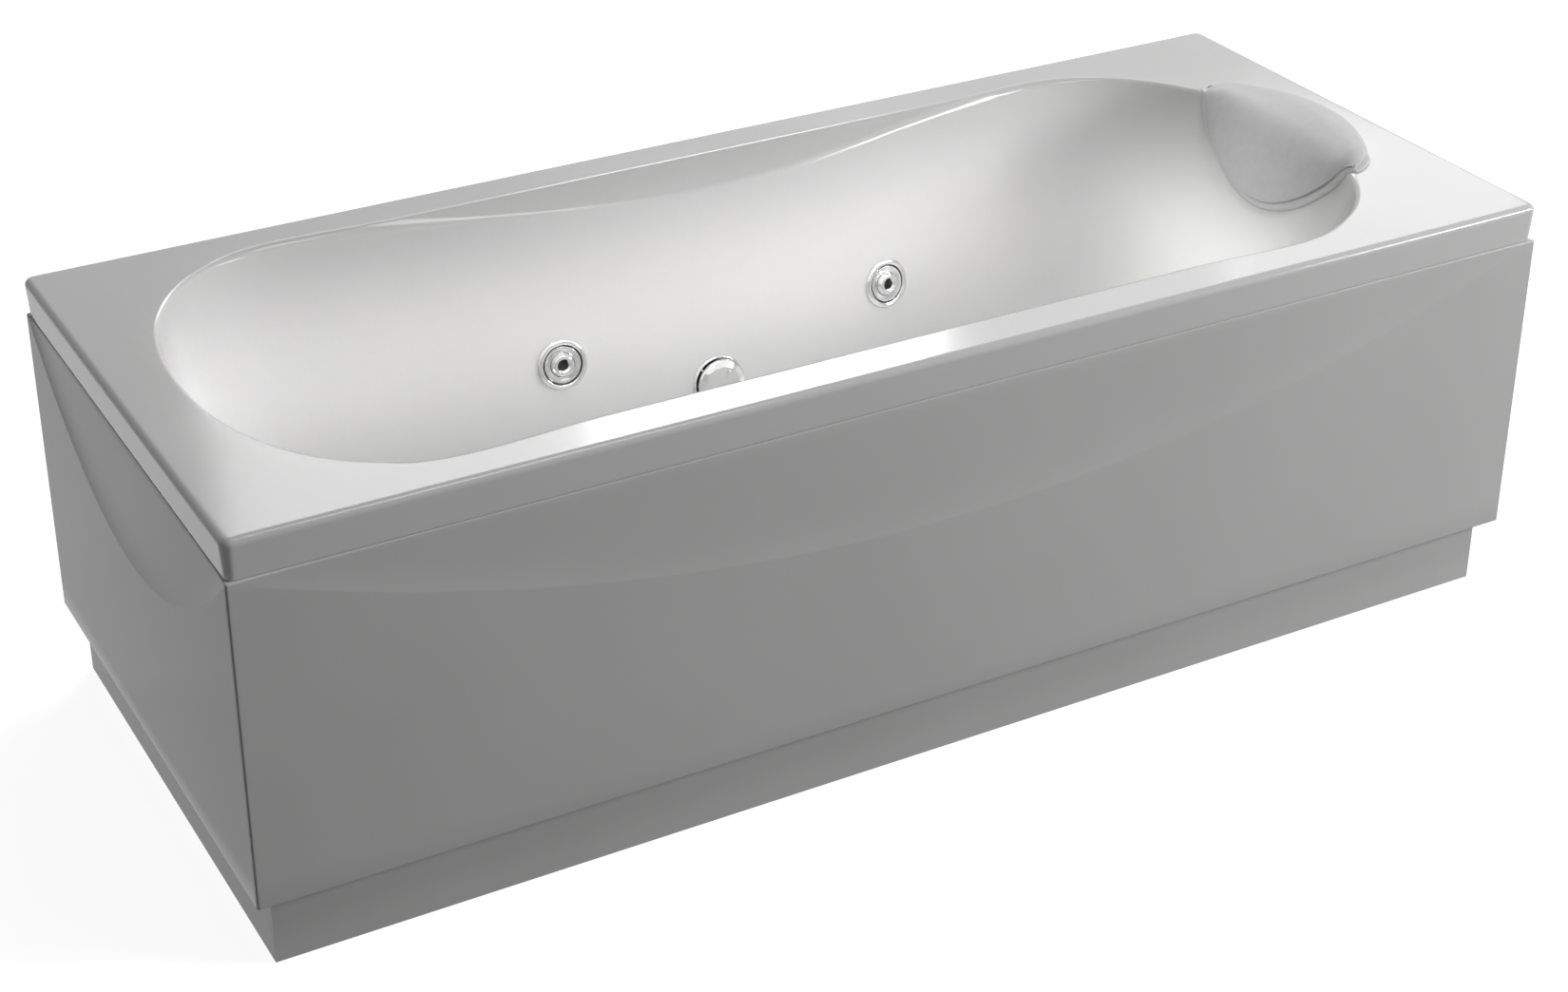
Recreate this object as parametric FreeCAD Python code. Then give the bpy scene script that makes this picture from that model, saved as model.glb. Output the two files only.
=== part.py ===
"""Jetted bathtub with its aprons, frame, pump, pipework and fittings.

Frame: origin at the centre of the footprint on the floor, +X towards the head end,
-Y towards the room (the front apron), +Z up. Millimetres.
"""
import FreeCAD, Part
import math
import os

V = FreeCAD.Vector

# ---------------------------------------------------------------- driving dimensions
LENGTH, WIDTH, RIM_Z = 1700.0, 700.0, 540.0     # overall size of the bath
LIP_H = 48.0              # height of the turned-down lip
LIP_DRAFT = 3.0           # how far the lip draws in towards its lower edge
LIP_T = 5.0               # lip and deck thickness
RIM_FILLET = 8.0          # rounding of the rim's outer top edge
RIM_CORNER = 12.0         # rounding of the rim's corners in plan
MOUTH_FILLET = 7.0        # rounding between the deck and the basin
SHELL_T = 6.0             # basin wall thickness
SHELL_CUTS = (-300.0, 340.0)       # where the shell is divided across, clear of its fittings

BASIN_DEPTH = 415.0       # rim to basin floor
LOBE_HALF, LOBE_DRAFT = 293.0, 0.17       # half width at the lobes, and its loss per mm of depth
WAIST_HALF, WAIST_DRAFT = 252.6, 0.19     # the same at the waist
WAIST_X, WAIST_SPAN = -12.0, 550.0        # middle and half length of the waist
FOOT_X, FOOT_SLOPE = -775.0, 0.20         # foot end of the basin, and its draft
HEAD_X, HEAD_SLOPE = 742.0, 0.532         # head end, and the slope of the backrest
FOOT_TURN, FOOT_TURN_SLOPE = -550.0, 0.10 # where the foot end starts to round off
HEAD_TURN, HEAD_TURN_SLOPE = 500.0, 0.45  # where the head end starts to round off
END_POWER = 2.2           # superellipse power of both rounded ends
SIDE_STEPS = 8            # points along each long side of an outline
FLOOR_R = 60.0            # rounding between the walls and the floor
ARM_CREASE = 291.0        # half width of the straight armrest crease
ARM_SLOPE = 0.667         # fall of the armrests towards the basin

PANEL_T = 5.0             # apron thickness
PANEL_Z0, PANEL_Z1 = 90.0, 490.5
RETURN_Y, RETURN_T = 14.0, 4.0            # turned-in edges of the aprons
FLANGE_Y = 28.0           # depth of their lower edge
PANEL_GAP = 0.5           # gap where the aprons and the plinths meet
CORNER_R = 2.5            # rounding of the aprons' free upright edges
ARC_LOW, ARC_RISE = 330.0, 161.0          # pressed arc: lowest height, and rise to the corners
ARC_TILT, ARC_CURVE = 0.038, 1.58e-4      # how the dished field above the arc falls back
PLINTH_INSET, PLINTH_T = 20.0, 5.0

CROSS_X = (-620.0, 20.0, 700.0)           # cross members
CROSS_Z0, TUBE = 47.0, 30.0               # underside of the cross members, tube size
TUBE_WALL = 2.0
RAIL_Y = 130.0
RAIL_X0, RAIL_X1 = -822.0, 790.0
POST_Y, POST = 312.0, 20.0                # uprights that carry the deck
FOOT_Y, STUD_R, PAD_R = 270.0, 6.0, 22.0
THREAD_GAP = 0.08         # radial play of a screw in its nut

JET_MID, JET_PITCH, JET_Z = 23.0, 482.0, 325.0    # the pair of jets on each long side
JET_R = 33.5              # outer radius of a jet's trim ring
JET_BODY_R, JET_DEPTH = 24.3, 34.0
NIPPLE_Z, NIPPLE_END = -23.0, 36.0        # air nipple of a jet: its height, and how far out it ends
BALL_R = 16.0             # swivelling nozzle
SUCTION_X, SUCTION_Z, SUCTION_R = -7.0, 257.0, 38.0
CONTROL_Z, AIR_KNOB_X, BUTTON_X = 470.0, 150.0, -60.0
WASTE_X, OVERFLOW_Z = -560.0, 440.0
SEAT_T = 7.0              # wall thickness at a fitting's flat seat

WATER_R, WATER_Y = 14.0, 286.0
AIR_R, AIR_Y, AIR_Z, AIR_X = 7.0, 291.0, 430.0, 815.0
SUCTION_PIPE_R, SUCTION_PIPE_Y = 20.0, 279.0
PIPE_WALL = 2.5
SIGNAL_R, SIGNAL_Y, SIGNAL_Z = 3.0, -297.0, 492.0  # air line from the start button
SIGNAL_X, SIGNAL_BOX_Y, SIGNAL_BOX_Z = 782.0, -62.0, 276.0

OUTLET_R, OUTLET_Z = 20.0, 37.0           # waste outlet pipe
OUTLET_STOP_Y, OUTLET_END_Y = 300.0, 345.0    # its shoulder and its end
OUTLET_STOP_R = 23.0

PUMP_X, PUMP_Z = 700.0, 192.0             # pump shaft axis, parallel to Y
MOTOR_R, MOTOR_Y0, MOTOR_Y1 = 62.0, -132.0, 24.0
VOLUTE_R, VOLUTE_Y1, INLET_Y = 75.0, 100.0, 126.0
SHAFT_R, DISCHARGE_Y, DISCHARGE_Z = 8.0, 62.0, 285.0
SHAFT_GAP = 0.06          # radial play of the shaft in its bearings
PLATE_T, PAD_H, PUMP_FOOT_Z = 5.0, 10.0, 122.0

WALL_BRACKETS = [(-500.0, "back"), (0.0, "back"), (500.0, "back"), (0.0, "right")]
BRACKET_HOLE_R, BRACKET_PITCH, BRACKET_HOLE_Z = 3.0, 40.0, 465.0

REST_HALF = 160.0         # half width of the headrest's lofted part
REST_DROP = 92.0          # how far it hangs below the rim
REST_TIP_X, REST_TOP = 745.0, 60.0        # its tips, and how much further its middle reaches
REST_THICK = 16.0         # cushion thickness over the rim's edge
REST_BASE_T, REST_GAP = 6.0, 1.0

FLOOR_Z = RIM_Z - BASIN_DEPTH
BASIN_BOTTOM = FLOOR_Z - SHELL_T
LIP_Z = RIM_Z - LIP_H
RAIL_Z0 = CROSS_Z0 + TUBE
RAIL_Z1 = RAIL_Z0 + TUBE
SCREW_INSET = 13.0        # apron face to the screws in its lower edge
FRONT_SCREWS = [(x, -WIDTH / 2 + SCREW_INSET) for x in CROSS_X]
END_SCREWS = [(-LENGTH / 2 + SCREW_INSET, y) for y in (-RAIL_Y, RAIL_Y)]
SCREW_HOLE_R = 2.1


# ---------------------------------------------------------------- small helpers
def box(x0, x1, y0, y1, z0, z1):
    return Part.makeBox(x1 - x0, y1 - y0, z1 - z0, V(x0, y0, z0))


def rod(start, end, radius):
    """Solid cylinder between two points."""
    way = end - start
    return Part.makeCylinder(radius, way.Length, start, way)


def tube(start, end, outer, inner):
    return rod(start, end, outer).cut(rod(start, end, inner))


def turned(profile):
    """Solid of revolution about local Z. Points are (radius, height).

    A pair of points inside the list is an arc: through the first, to the second.
    """
    edges, last = [], profile[0]
    last_end = profile[-1][1] if isinstance(profile[-1][0], tuple) else profile[-1]
    closing = [] if last_end == profile[0] else [profile[0]]
    for item in profile[1:] + closing:
        if isinstance(item[0], tuple):
            through, end = item
            edges.append(Part.Arc(*[V(r, 0, s) for r, s in (last, through, end)]).toShape())
        else:
            end = item
            edges.append(Part.LineSegment(V(last[0], 0, last[1]), V(end[0], 0, end[1])).toShape())
        last = end
    solid = Part.Face(Part.Wire(edges)).revolve(V(0, 0, 0), V(0, 0, 1), 360)
    return solid


def rounded_path(points, bend):
    """Wire of straight runs joined by tangent arcs of one radius."""
    edges, start = [], points[0]
    for before, corner, after in zip(points, points[1:], points[2:]):
        way_in = (corner - before).normalize()
        way_out = (after - corner).normalize()
        turn = way_in.getAngle(way_out)
        cut = bend * math.tan(turn / 2)
        first, last = corner - way_in * cut, corner + way_out * cut
        inward = (way_out - way_in).normalize()
        middle = corner + inward * (bend / math.cos(turn / 2) - bend)
        edges.append(Part.LineSegment(start, first).toShape())
        edges.append(Part.Arc(first, middle, last).toShape())
        start = last
    edges.append(Part.LineSegment(start, points[-1]).toShape())
    return Part.Wire(edges)


def swept(points, bend, radius):
    circle = Part.Wire(Part.Circle(points[0], points[1] - points[0], radius).toShape())
    return rounded_path(points, bend).makePipeShell([circle], True, False)


def fused(solids):
    whole = solids[0].multiFuse(solids[1:]) if len(solids) > 1 else solids[0]
    return whole.removeSplitter()


def group(solids):
    return Part.makeCompound(solids)


def divided(shape, places):
    """Cuts a long shape across at the given x, so that each length is a solid of its own."""
    ends = (-LENGTH, *places, LENGTH)
    lengths = [shape.common(box(x0, x1, -WIDTH, WIDTH, 0, RIM_Z + 1)) for x0, x1 in zip(ends, ends[1:])]
    return group([solid for length in lengths for solid in length.Solids])


# ---------------------------------------------------------------- the basin's form
def waist_share(x):
    """1 at the middle of the waist, 0 where the lobes begin."""
    return max(0.0, 1 - ((x - WAIST_X) / WAIST_SPAN) ** 2) ** 2


def side_half(x, depth):
    """Half width of the basin's long sides, before the ends round off."""
    lobe = LOBE_HALF - LOBE_DRAFT * depth
    waist = WAIST_HALF - WAIST_DRAFT * depth
    return lobe - (lobe - waist) * waist_share(x)


def basin_half(x, depth):
    """Half width of the basin at x, ends included."""
    head_turn, head_end = HEAD_TURN - HEAD_TURN_SLOPE * depth, HEAD_X - HEAD_SLOPE * depth
    foot_turn, foot_end = FOOT_TURN + FOOT_TURN_SLOPE * depth, FOOT_X + FOOT_SLOPE * depth
    share = 0.0
    if x > head_turn:
        share = (x - head_turn) / (head_end - head_turn)
    elif x < foot_turn:
        share = (foot_turn - x) / (foot_turn - foot_end)
    return side_half(x, depth) * max(0.0, 1 - share ** END_POWER) ** (1 / END_POWER)


def basin_outline(depth, grow):
    """Closed smooth curve around the basin at one depth, grown outwards by an amount."""
    form_depth = min(depth, BASIN_DEPTH)
    rise = max(0.0, form_depth - (BASIN_DEPTH - FLOOR_R))
    inset = FLOOR_R - math.sqrt(FLOOR_R ** 2 - rise ** 2) - grow
    head_turn = HEAD_TURN - HEAD_TURN_SLOPE * form_depth
    foot_turn = FOOT_TURN + FOOT_TURN_SLOPE * form_depth
    head_end = HEAD_X - HEAD_SLOPE * form_depth - inset
    foot_end = FOOT_X + FOOT_SLOPE * form_depth + inset

    def rounded_end(turn, end):
        """Points of one end's superellipse, from its tip to where it meets the sides."""
        points = []
        for angle in (0, 18, 36, 54, 72):
            along = math.cos(math.radians(angle)) ** (2 / END_POWER)
            across = math.sin(math.radians(angle)) ** (2 / END_POWER)
            x = turn + (end - turn) * along
            points.append((x, (side_half(x, form_depth) - inset) * across))
        return points

    half = rounded_end(head_turn, head_end)
    for step in range(SIDE_STEPS + 1):
        x = head_turn + (foot_turn - head_turn) * step / SIDE_STEPS
        half.append((x, side_half(x, form_depth) - inset))
    half += rounded_end(foot_turn, foot_end)[::-1]
    z = RIM_Z - depth
    points = [V(x, y, z) for x, y in half] + [V(x, -y, z) for x, y in half[-2:0:-1]]
    curve = Part.BSplineCurve()
    curve.interpolate(points, PeriodicFlag=True)
    return Part.Wire(curve.toShape())


def basin_solid(top, bottom, grow):
    """The basin's space, or its outside, between two depths: straight walls, then floor bands."""
    floor_starts = BASIN_DEPTH - FLOOR_R
    depths = [top, floor_starts]
    depths += [floor_starts + FLOOR_R * math.sin(math.radians(a)) for a in (18, 34, 49, 62, 74)]
    depths.append(bottom)
    return Part.makeLoft([basin_outline(d, grow) for d in depths], True, True)


def armrest_wedge(drop, x0, x1):
    """Prism with the two armrest planes as its underside, lowered by an amount."""
    top = RIM_Z + 2 - drop
    edge = ARM_CREASE + drop
    reach = 200.0
    low = RIM_Z - drop - ARM_SLOPE * (edge - reach)
    section = [(-edge, top), (-edge, RIM_Z - drop), (-reach, low), (reach, low),
               (edge, RIM_Z - drop), (edge, top), (-edge, top)]
    wire = Part.makePolygon([V(x0, y, z) for y, z in section])
    return Part.Face(wire).extrude(V(x1 - x0, 0, 0))


# ---------------------------------------------------------------- places of the fittings
class Seat:
    """A flat seat on the basin wall: its centre, its axis into the basin, its up direction."""

    def __init__(self, centre, axis):
        self.axis = V(axis).normalize()
        self.centre = centre
        across = V(0, 0, 1).cross(self.axis)
        self.across = across.normalize() if across.Length > 1e-6 else V(0, 1, 0)
        self.up = self.axis.cross(self.across)

    def at(self, height, up=0.0):
        return self.centre + self.axis * height + self.up * up

    def place(self, shape):
        """Stand a shape made about local Z on this seat."""
        moved = shape.copy()
        turn = FreeCAD.Rotation(self.across, V(0, 0, 0), self.axis, "ZXY")
        moved.Placement = FreeCAD.Placement(self.centre, turn)
        return moved


def side_seat(x, z, side, sink=0.5):
    """Seat on a long wall; side is +1 at the back and -1 at the front."""
    depth, small = RIM_Z - z, 0.1
    y = basin_half(x, depth)
    along = (basin_half(x + small, depth) - basin_half(x - small, depth)) / (2 * small)
    down = (basin_half(x, depth + small) - basin_half(x, depth - small)) / (2 * small)
    axis = V(along, -side, -down).normalize()
    return Seat(V(x, side * y, z) - axis * sink, axis)


def end_seat(z, sink=1.2):
    """Seat on the foot wall's middle."""
    axis = V(1, 0, FOOT_SLOPE).normalize()
    x = FOOT_X + FOOT_SLOPE * (RIM_Z - z)
    return Seat(V(x, 0, z) - axis * sink, axis)


JET_SEATS = [side_seat(JET_MID + half * JET_PITCH / 2, JET_Z, side)
             for side in (1, -1) for half in (-1, 1)]
SUCTION_SEAT = side_seat(SUCTION_X, SUCTION_Z, 1)
AIR_SEAT = side_seat(AIR_KNOB_X, CONTROL_Z, -1)
BUTTON_SEAT = side_seat(BUTTON_X, CONTROL_Z, -1)
OVERFLOW_SEAT = end_seat(OVERFLOW_Z)


# ---------------------------------------------------------------- tub shell
def rim_block():
    """Deck and lip as one drafted block with rounded corners and top edges."""
    flare = LIP_DRAFT * RIM_FILLET / LIP_H      # so that the lip is full size below its fillet
    wires = []
    for z, grow in ((LIP_Z, -LIP_DRAFT + flare), (RIM_Z, flare)):
        x, y = LENGTH / 2 + grow, WIDTH / 2 + grow
        corners = [V(-x, -y, z), V(x, -y, z), V(x, y, z), V(-x, y, z), V(-x, -y, z)]
        wires.append(Part.makePolygon(corners))
    block = Part.makeLoft(wires, True, True)
    upright = [e for e in block.Edges if abs(e.BoundBox.ZLength) > LIP_H / 2]
    block = block.makeFillet(RIM_CORNER, upright)
    rim = [e for e in block.Edges if e.BoundBox.ZMin > RIM_Z - 0.01]
    return block.makeFillet(RIM_FILLET, rim)


def seat_parts(seat, radius, hole):
    """What a seat adds outside the wall, and what it takes away inside it."""
    boss = rod(seat.at(-1.5), seat.at(-SEAT_T), radius)
    facing = rod(seat.at(0), seat.at(12), radius)
    bore = rod(seat.at(-SEAT_T - 6), seat.at(6), hole)
    return boss, [facing, bore]


def tub_shell():
    inside = LENGTH / 2 - LIP_DRAFT - LIP_T, WIDTH / 2 - LIP_DRAFT - LIP_T
    hollow = box(-inside[0], inside[0], -inside[1], inside[1], LIP_Z - 5, RIM_Z - LIP_T)
    outside = basin_solid(3, BASIN_DEPTH + SHELL_T, SHELL_T)
    bosses, cuts = [], []
    seats = [(s, 35.0, 25.0) for s in JET_SEATS]
    seats += [(SUCTION_SEAT, 39.0, 27.6), (AIR_SEAT, 23.0, 12.6), (BUTTON_SEAT, 19.0, 11.1),
              (OVERFLOW_SEAT, 32.0, 21.6)]
    for seat, radius, hole in seats:
        boss, taken = seat_parts(seat, radius, hole)
        bosses.append(boss)
        cuts += taken
    waste_hole = rod(V(WASTE_X, 0, BASIN_BOTTOM - 5), V(WASTE_X, 0, FLOOR_Z + 5), 23.3)
    shell = rim_block().cut(hollow)
    shell = shell.multiFuse([outside, armrest_wedge(SHELL_T, -500, 470)] + bosses)
    space = basin_solid(-2, BASIN_DEPTH, 0).fuse(armrest_wedge(0, -520, 490))
    shell = shell.cut([space] + cuts + [waste_hole]).removeSplitter()
    mouth = [e for e in shell.Edges if e.BoundBox.ZMin > RIM_Z - 0.1
             and max(abs(e.BoundBox.XMin), abs(e.BoundBox.XMax)) < inside[0] - 20
             and max(abs(e.BoundBox.YMin), abs(e.BoundBox.YMax)) < inside[1] - 20]
    return divided(shell.makeFillet(MOUTH_FILLET, mouth), SHELL_CUTS)


# ---------------------------------------------------------------- aprons and plinths
def apron_plate(half, x0, x1):
    """Panel facing -Y with its outer face at y = 0: a dished field above a pressed arc."""
    plate = box(x0, x1, 0, PANEL_T, PANEL_Z0, PANEL_Z1)
    plate = plate.fuse(box(x0, x1, 0, RETURN_Y, PANEL_Z1 - RETURN_T, PANEL_Z1))
    grid = []
    columns, rows, past = 24, 8, 6.0
    for i in range(columns + 1):
        x = -half - past + (2 * half + 2 * past) * i / columns
        arc = ARC_LOW + ARC_RISE * (x / half) ** 2
        column = []
        for j in range(rows + 1):
            z = ARC_LOW - 30 + (PANEL_Z1 + 4 - ARC_LOW + 30) * j / rows
            above = z - arc
            column.append(V(x, ARC_TILT * above - ARC_CURVE * above * abs(above), z))
        grid.append(column)
    field = Part.BSplineSurface()
    field.interpolate(grid)
    return plate.cut(field.toShape().extrude(V(0, -40, 0)))


def screw_holes(places):
    """Cutters for the screws that hold an apron's lower edge to its clips."""
    return [rod(V(x, y, PANEL_Z0 - 2), V(x, y, PANEL_Z0 + 20), SCREW_HOLE_R) for x, y in places]


def front_apron():
    half = LENGTH / 2
    panel = apron_plate(half, -half, half)
    foot = box(-half, half, 0, FLANGE_Y, PANEL_Z0, PANEL_Z0 + RETURN_T)
    side = box(half - RETURN_T, half, 0, RETURN_Y, PANEL_Z0, PANEL_Z1)
    room = box(-half - 1, -half + PANEL_T + PANEL_GAP, PANEL_T, 30, PANEL_Z0 - 1, PANEL_Z1 + 1)
    whole = fused([panel, foot, side]).cut(room)
    outer = [e for e in whole.Edges
             if e.BoundBox.ZLength > 100 and e.BoundBox.YLength < 0.01 and e.BoundBox.YMax < 0.01]
    whole = whole.makeFillet(CORNER_R, outer)
    whole.translate(V(0, -WIDTH / 2, 0))
    return whole.cut(screw_holes(FRONT_SCREWS))


def end_apron():
    half = WIDTH / 2
    reach = half - PANEL_T - PANEL_GAP
    panel = apron_plate(half, -half, reach)
    foot = box(-half, reach, 0, FLANGE_Y, PANEL_Z0, PANEL_Z0 + RETURN_T)
    # room for the front apron's turned-in edges, in the panel's own frame
    low = box(half - FLANGE_Y - PANEL_GAP, half, PANEL_T, 40, PANEL_Z0 - 1, PANEL_Z0 + RETURN_T + 1)
    high = box(half - RETURN_Y - PANEL_GAP, half, PANEL_T, 40, PANEL_Z1 - RETURN_T - 1, PANEL_Z1 + 1)
    whole = fused([panel, foot]).cut([low, high])
    # turned so that it faces -X: its local x runs towards -Y
    whole.rotate(V(0, 0, 0), V(0, 0, 1), -90)
    whole.translate(V(-LENGTH / 2, 0, 0))
    return whole.cut(screw_holes(END_SCREWS))


def front_plinth():
    x, y = LENGTH / 2 - PLINTH_INSET, -WIDTH / 2 + PLINTH_INSET
    return box(-x, x, y, y + PLINTH_T, 0, PANEL_Z0)


def end_plinth():
    x, y = -LENGTH / 2 + PLINTH_INSET, -WIDTH / 2 + PLINTH_INSET + PLINTH_T + PANEL_GAP
    return box(x, x + PLINTH_T, y, WIDTH / 2 - PLINTH_INSET, 0, PANEL_Z0)


def clip(screw, way):
    """Channel that ties an apron to the frame; way points from the apron inwards."""
    side = V(0, 0, 1).cross(way)
    reach, width, tall, wall = 23.0, 30.0, 40.0, 3.0
    outer = V(*screw, PANEL_Z0 + RETURN_T) - way * (SCREW_INSET - PANEL_T) - side * (width / 2)

    def leg(start, along, height):
        corner = outer + way * start
        other = corner + way * along + side * width
        low, high = [V(*[f(a, b) for a, b in zip(corner, other)]) for f in (min, max)]
        return box(low.x, high.x, low.y, high.y, low.z, low.z + height)

    solid = fused([leg(0, reach, wall), leg(0, wall, tall), leg(reach - wall, wall, tall)])
    return solid.cut(screw_holes([screw]))


def apron_clips():
    return group([clip(s, V(0, 1, 0)) for s in FRONT_SCREWS] + [clip(s, V(1, 0, 0)) for s in END_SCREWS])


def apron_screws():
    head = turned([(0, -2.2), (2.6, -2.2), ((3.7, -1.4), (4.0, 0)), (2.0, 0), (2.0, 9), (1.2, 12), (0, 12)])
    screws = []
    for x, y in FRONT_SCREWS + END_SCREWS:
        screw = head.copy()
        screw.translate(V(x, y, PANEL_Z0))
        screws.append(screw)
    return group(screws)


# ---------------------------------------------------------------- frame and feet
def square_tube(x0, x1, y0, y1, z0, z1, along):
    """Steel tube with open ends; along is 0 for X, 1 for Y, 2 for Z."""
    low, high = [x0, y0, z0], [x1, y1, z1]
    inner_low = [a + TUBE_WALL if i != along else a - 1 for i, a in enumerate(low)]
    inner_high = [a - TUBE_WALL if i != along else a + 1 for i, a in enumerate(high)]
    outer = box(x0, x1, y0, y1, z0, z1)
    return outer.cut(box(inner_low[0], inner_high[0], inner_low[1], inner_high[1],
                         inner_low[2], inner_high[2]))


def frame_rails():
    return group([square_tube(RAIL_X0, RAIL_X1, y - TUBE / 2, y + TUBE / 2, RAIL_Z0, RAIL_Z1, 0)
                  for y in (-RAIL_Y, RAIL_Y)])


def cross_members():
    members = []
    for x in CROSS_X:
        member = square_tube(x - TUBE / 2, x + TUBE / 2, -POST_Y - POST / 2, POST_Y + POST / 2,
                             CROSS_Z0, RAIL_Z0, 1)
        holes = [rod(V(x, y, CROSS_Z0 - 1), V(x, y, RAIL_Z0 + 1), STUD_R + 0.4)
                 for y in (-FOOT_Y, FOOT_Y)]
        members.append(member.cut(holes))
    return group(members)


def uprights():
    half = POST / 2
    return group([square_tube(x - half, x + half, y - half, y + half, RAIL_Z0, RIM_Z - LIP_T, 2)
                  for x in CROSS_X for y in (-POST_Y, POST_Y)])


def foot(x, y):
    """Levelling foot: a rubber-edged pad with its threaded stud."""
    pad_h, stud_top = 14.0, 98.0
    shape = turned([(0, 0), (PAD_R, 0), (PAD_R, 5), ((PAD_R - 2, 9), (PAD_R - 8, 11)),
                    (9, pad_h), (STUD_R, pad_h), (STUD_R, stud_top - 1), (STUD_R - 1, stud_top),
                    (0, stud_top)])
    shape.translate(V(x, y, 0))
    return shape


def hexagon(radius, height, bore):
    """Nut about local Z, its underside at 0."""
    corners = [V(radius * math.cos(math.radians(60 * i)), radius * math.sin(math.radians(60 * i)), 0)
               for i in range(7)]
    block = Part.Face(Part.makePolygon(corners)).extrude(V(0, 0, height))
    return block.cut(Part.makeCylinder(bore, height + 2, V(0, 0, -1)))


def foot_nuts():
    nuts = []
    for x in CROSS_X:
        for y in (-FOOT_Y, FOOT_Y):
            for z in (CROSS_Z0 - 10, RAIL_Z0):
                nut = hexagon(11.0, 10.0, STUD_R + THREAD_GAP)
                nut.translate(V(x, y, z))
                nuts.append(nut)
    return group(nuts)


def base_board():
    return box(-505, 380, -RAIL_Y - TUBE / 2, RAIL_Y + TUBE / 2, RAIL_Z1, BASIN_BOTTOM)


def wall_brackets():
    """Angles screwed to the wall, which the lip rests on."""
    wide, tall, deep, thick = 70.0, 50.0, 26.0, 3.0
    angles = []
    for place, wall in WALL_BRACKETS:
        angle = box(-wide / 2, wide / 2, -thick, 0, LIP_Z - tall, LIP_Z)
        angle = angle.fuse(box(-wide / 2, wide / 2, -deep, 0, LIP_Z - thick, LIP_Z)).removeSplitter()
        angle = angle.cut([rod(V(side * BRACKET_PITCH / 2, -9, BRACKET_HOLE_Z),
                               V(side * BRACKET_PITCH / 2, 9, BRACKET_HOLE_Z), BRACKET_HOLE_R)
                           for side in (-1, 1)])
        if wall == "back":
            angle.translate(V(place, WIDTH / 2, 0))
        else:
            angle.rotate(V(0, 0, 0), V(0, 0, 1), -90)
            angle.translate(V(LENGTH / 2, place, 0))
        angles.append(angle)
    return group(angles)


# ---------------------------------------------------------------- jets
def jet_body():
    """Housing with a front lip, a cup for the turning ring, a water port and an air nipple."""
    back, floor = -JET_DEPTH, -JET_DEPTH + 6
    outer = turned([(0, back), (JET_BODY_R, back), (JET_BODY_R, 0), (28, 0), (28, 1.5), (0, 1.5)])
    cup = turned([(0, back - 1), (12, back - 1), (12, floor), (21, floor), (21, 3), (0, 3)])
    nipple = rod(V(0, 0, NIPPLE_Z), V(0, NIPPLE_END, NIPPLE_Z), 6.0)
    bore = rod(V(0, 0, NIPPLE_Z), V(0, NIPPLE_END + 1, NIPPLE_Z), 4.0)
    return outer.fuse(nipple).cut([cup, bore]).removeSplitter()


def jet_bodies():
    return group([seat.place(jet_body()) for seat in JET_SEATS])


def trim_ring():
    """Chromed ring: a rounded rim that dips into a shallow dish."""
    return turned([(JET_R, 0), ((JET_R - 0.7, 3.4), (30.0, 5.6)), ((27.6, 5.8), (25.4, 4.4)),
                   (24.6, 1.7), (28.2, 1.7), (28.2, 0)])


def jet_trims():
    return group([seat.place(trim_ring()) for seat in JET_SEATS])


def jet_gaskets():
    ring = turned([(24.9, -SEAT_T - 2), (33, -SEAT_T - 2), (33, -SEAT_T), (24.9, -SEAT_T)])
    return group([seat.place(ring) for seat in JET_SEATS])


def lug_nut(outer, inner, top, height, lugs):
    nut = turned([(inner, top - height), (outer, top - height), (outer, top), (inner, top)])
    ears = []
    for i in range(lugs):
        ear = box(outer - 1, outer + 2.2, -2.5, 2.5, top - height, top)
        ear.rotate(V(0, 0, 0), V(0, 0, 1), 360.0 * i / lugs)
        ears.append(ear)
    return fused([nut] + ears)


def jet_nuts():
    nut = lug_nut(31, JET_BODY_R + 0.1, -SEAT_T - 2, 7.5, 8)
    return group([seat.place(nut) for seat in JET_SEATS])


def turning_ring():
    """Flow ring: a visible disc with three finger pips round a spherical seat."""
    seat_r = BALL_R + 0.3
    top, low = 3.6, -7.0
    top_r, low_r = [math.sqrt(seat_r ** 2 - s ** 2) for s in (top, low)]
    ring = turned([(low_r, low), (20.6, low), (20.6, 1.9), (24.2, 1.9), (24.2, 2.6),
                   ((23.6, 3.4), (22.6, top)), (top_r, top), ((seat_r, 0), (low_r, low))])
    pips = []
    for i in range(3):
        pip = Part.makeSphere(1.5, V(20.2, 0, top - 0.2))
        pip.rotate(V(0, 0, 0), V(0, 0, 1), 90 + 120 * i)
        pips.append(pip)
    return fused([ring] + pips)


def swivel_nozzle():
    """Eyeball nozzle cut flat at the front and the back, bored through."""
    front, back, bore = 9.0, -11.0, 6.5
    front_r, back_r = [math.sqrt(BALL_R ** 2 - s ** 2) for s in (front, back)]
    return turned([(bore, back), (back_r, back), ((BALL_R, 0), (front_r, front)),
                   (9.0, front), ((7.2, front - 0.6), (bore, front - 2.4))])


# ---------------------------------------------------------------- suction
def suction_body():
    return SUCTION_SEAT.place(turned([
        (20, -46), (27.2, -46), (27.2, 0), (32, 0), (32, 1.8), (22, 1.8), (22, -40), (20, -42)]))


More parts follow.
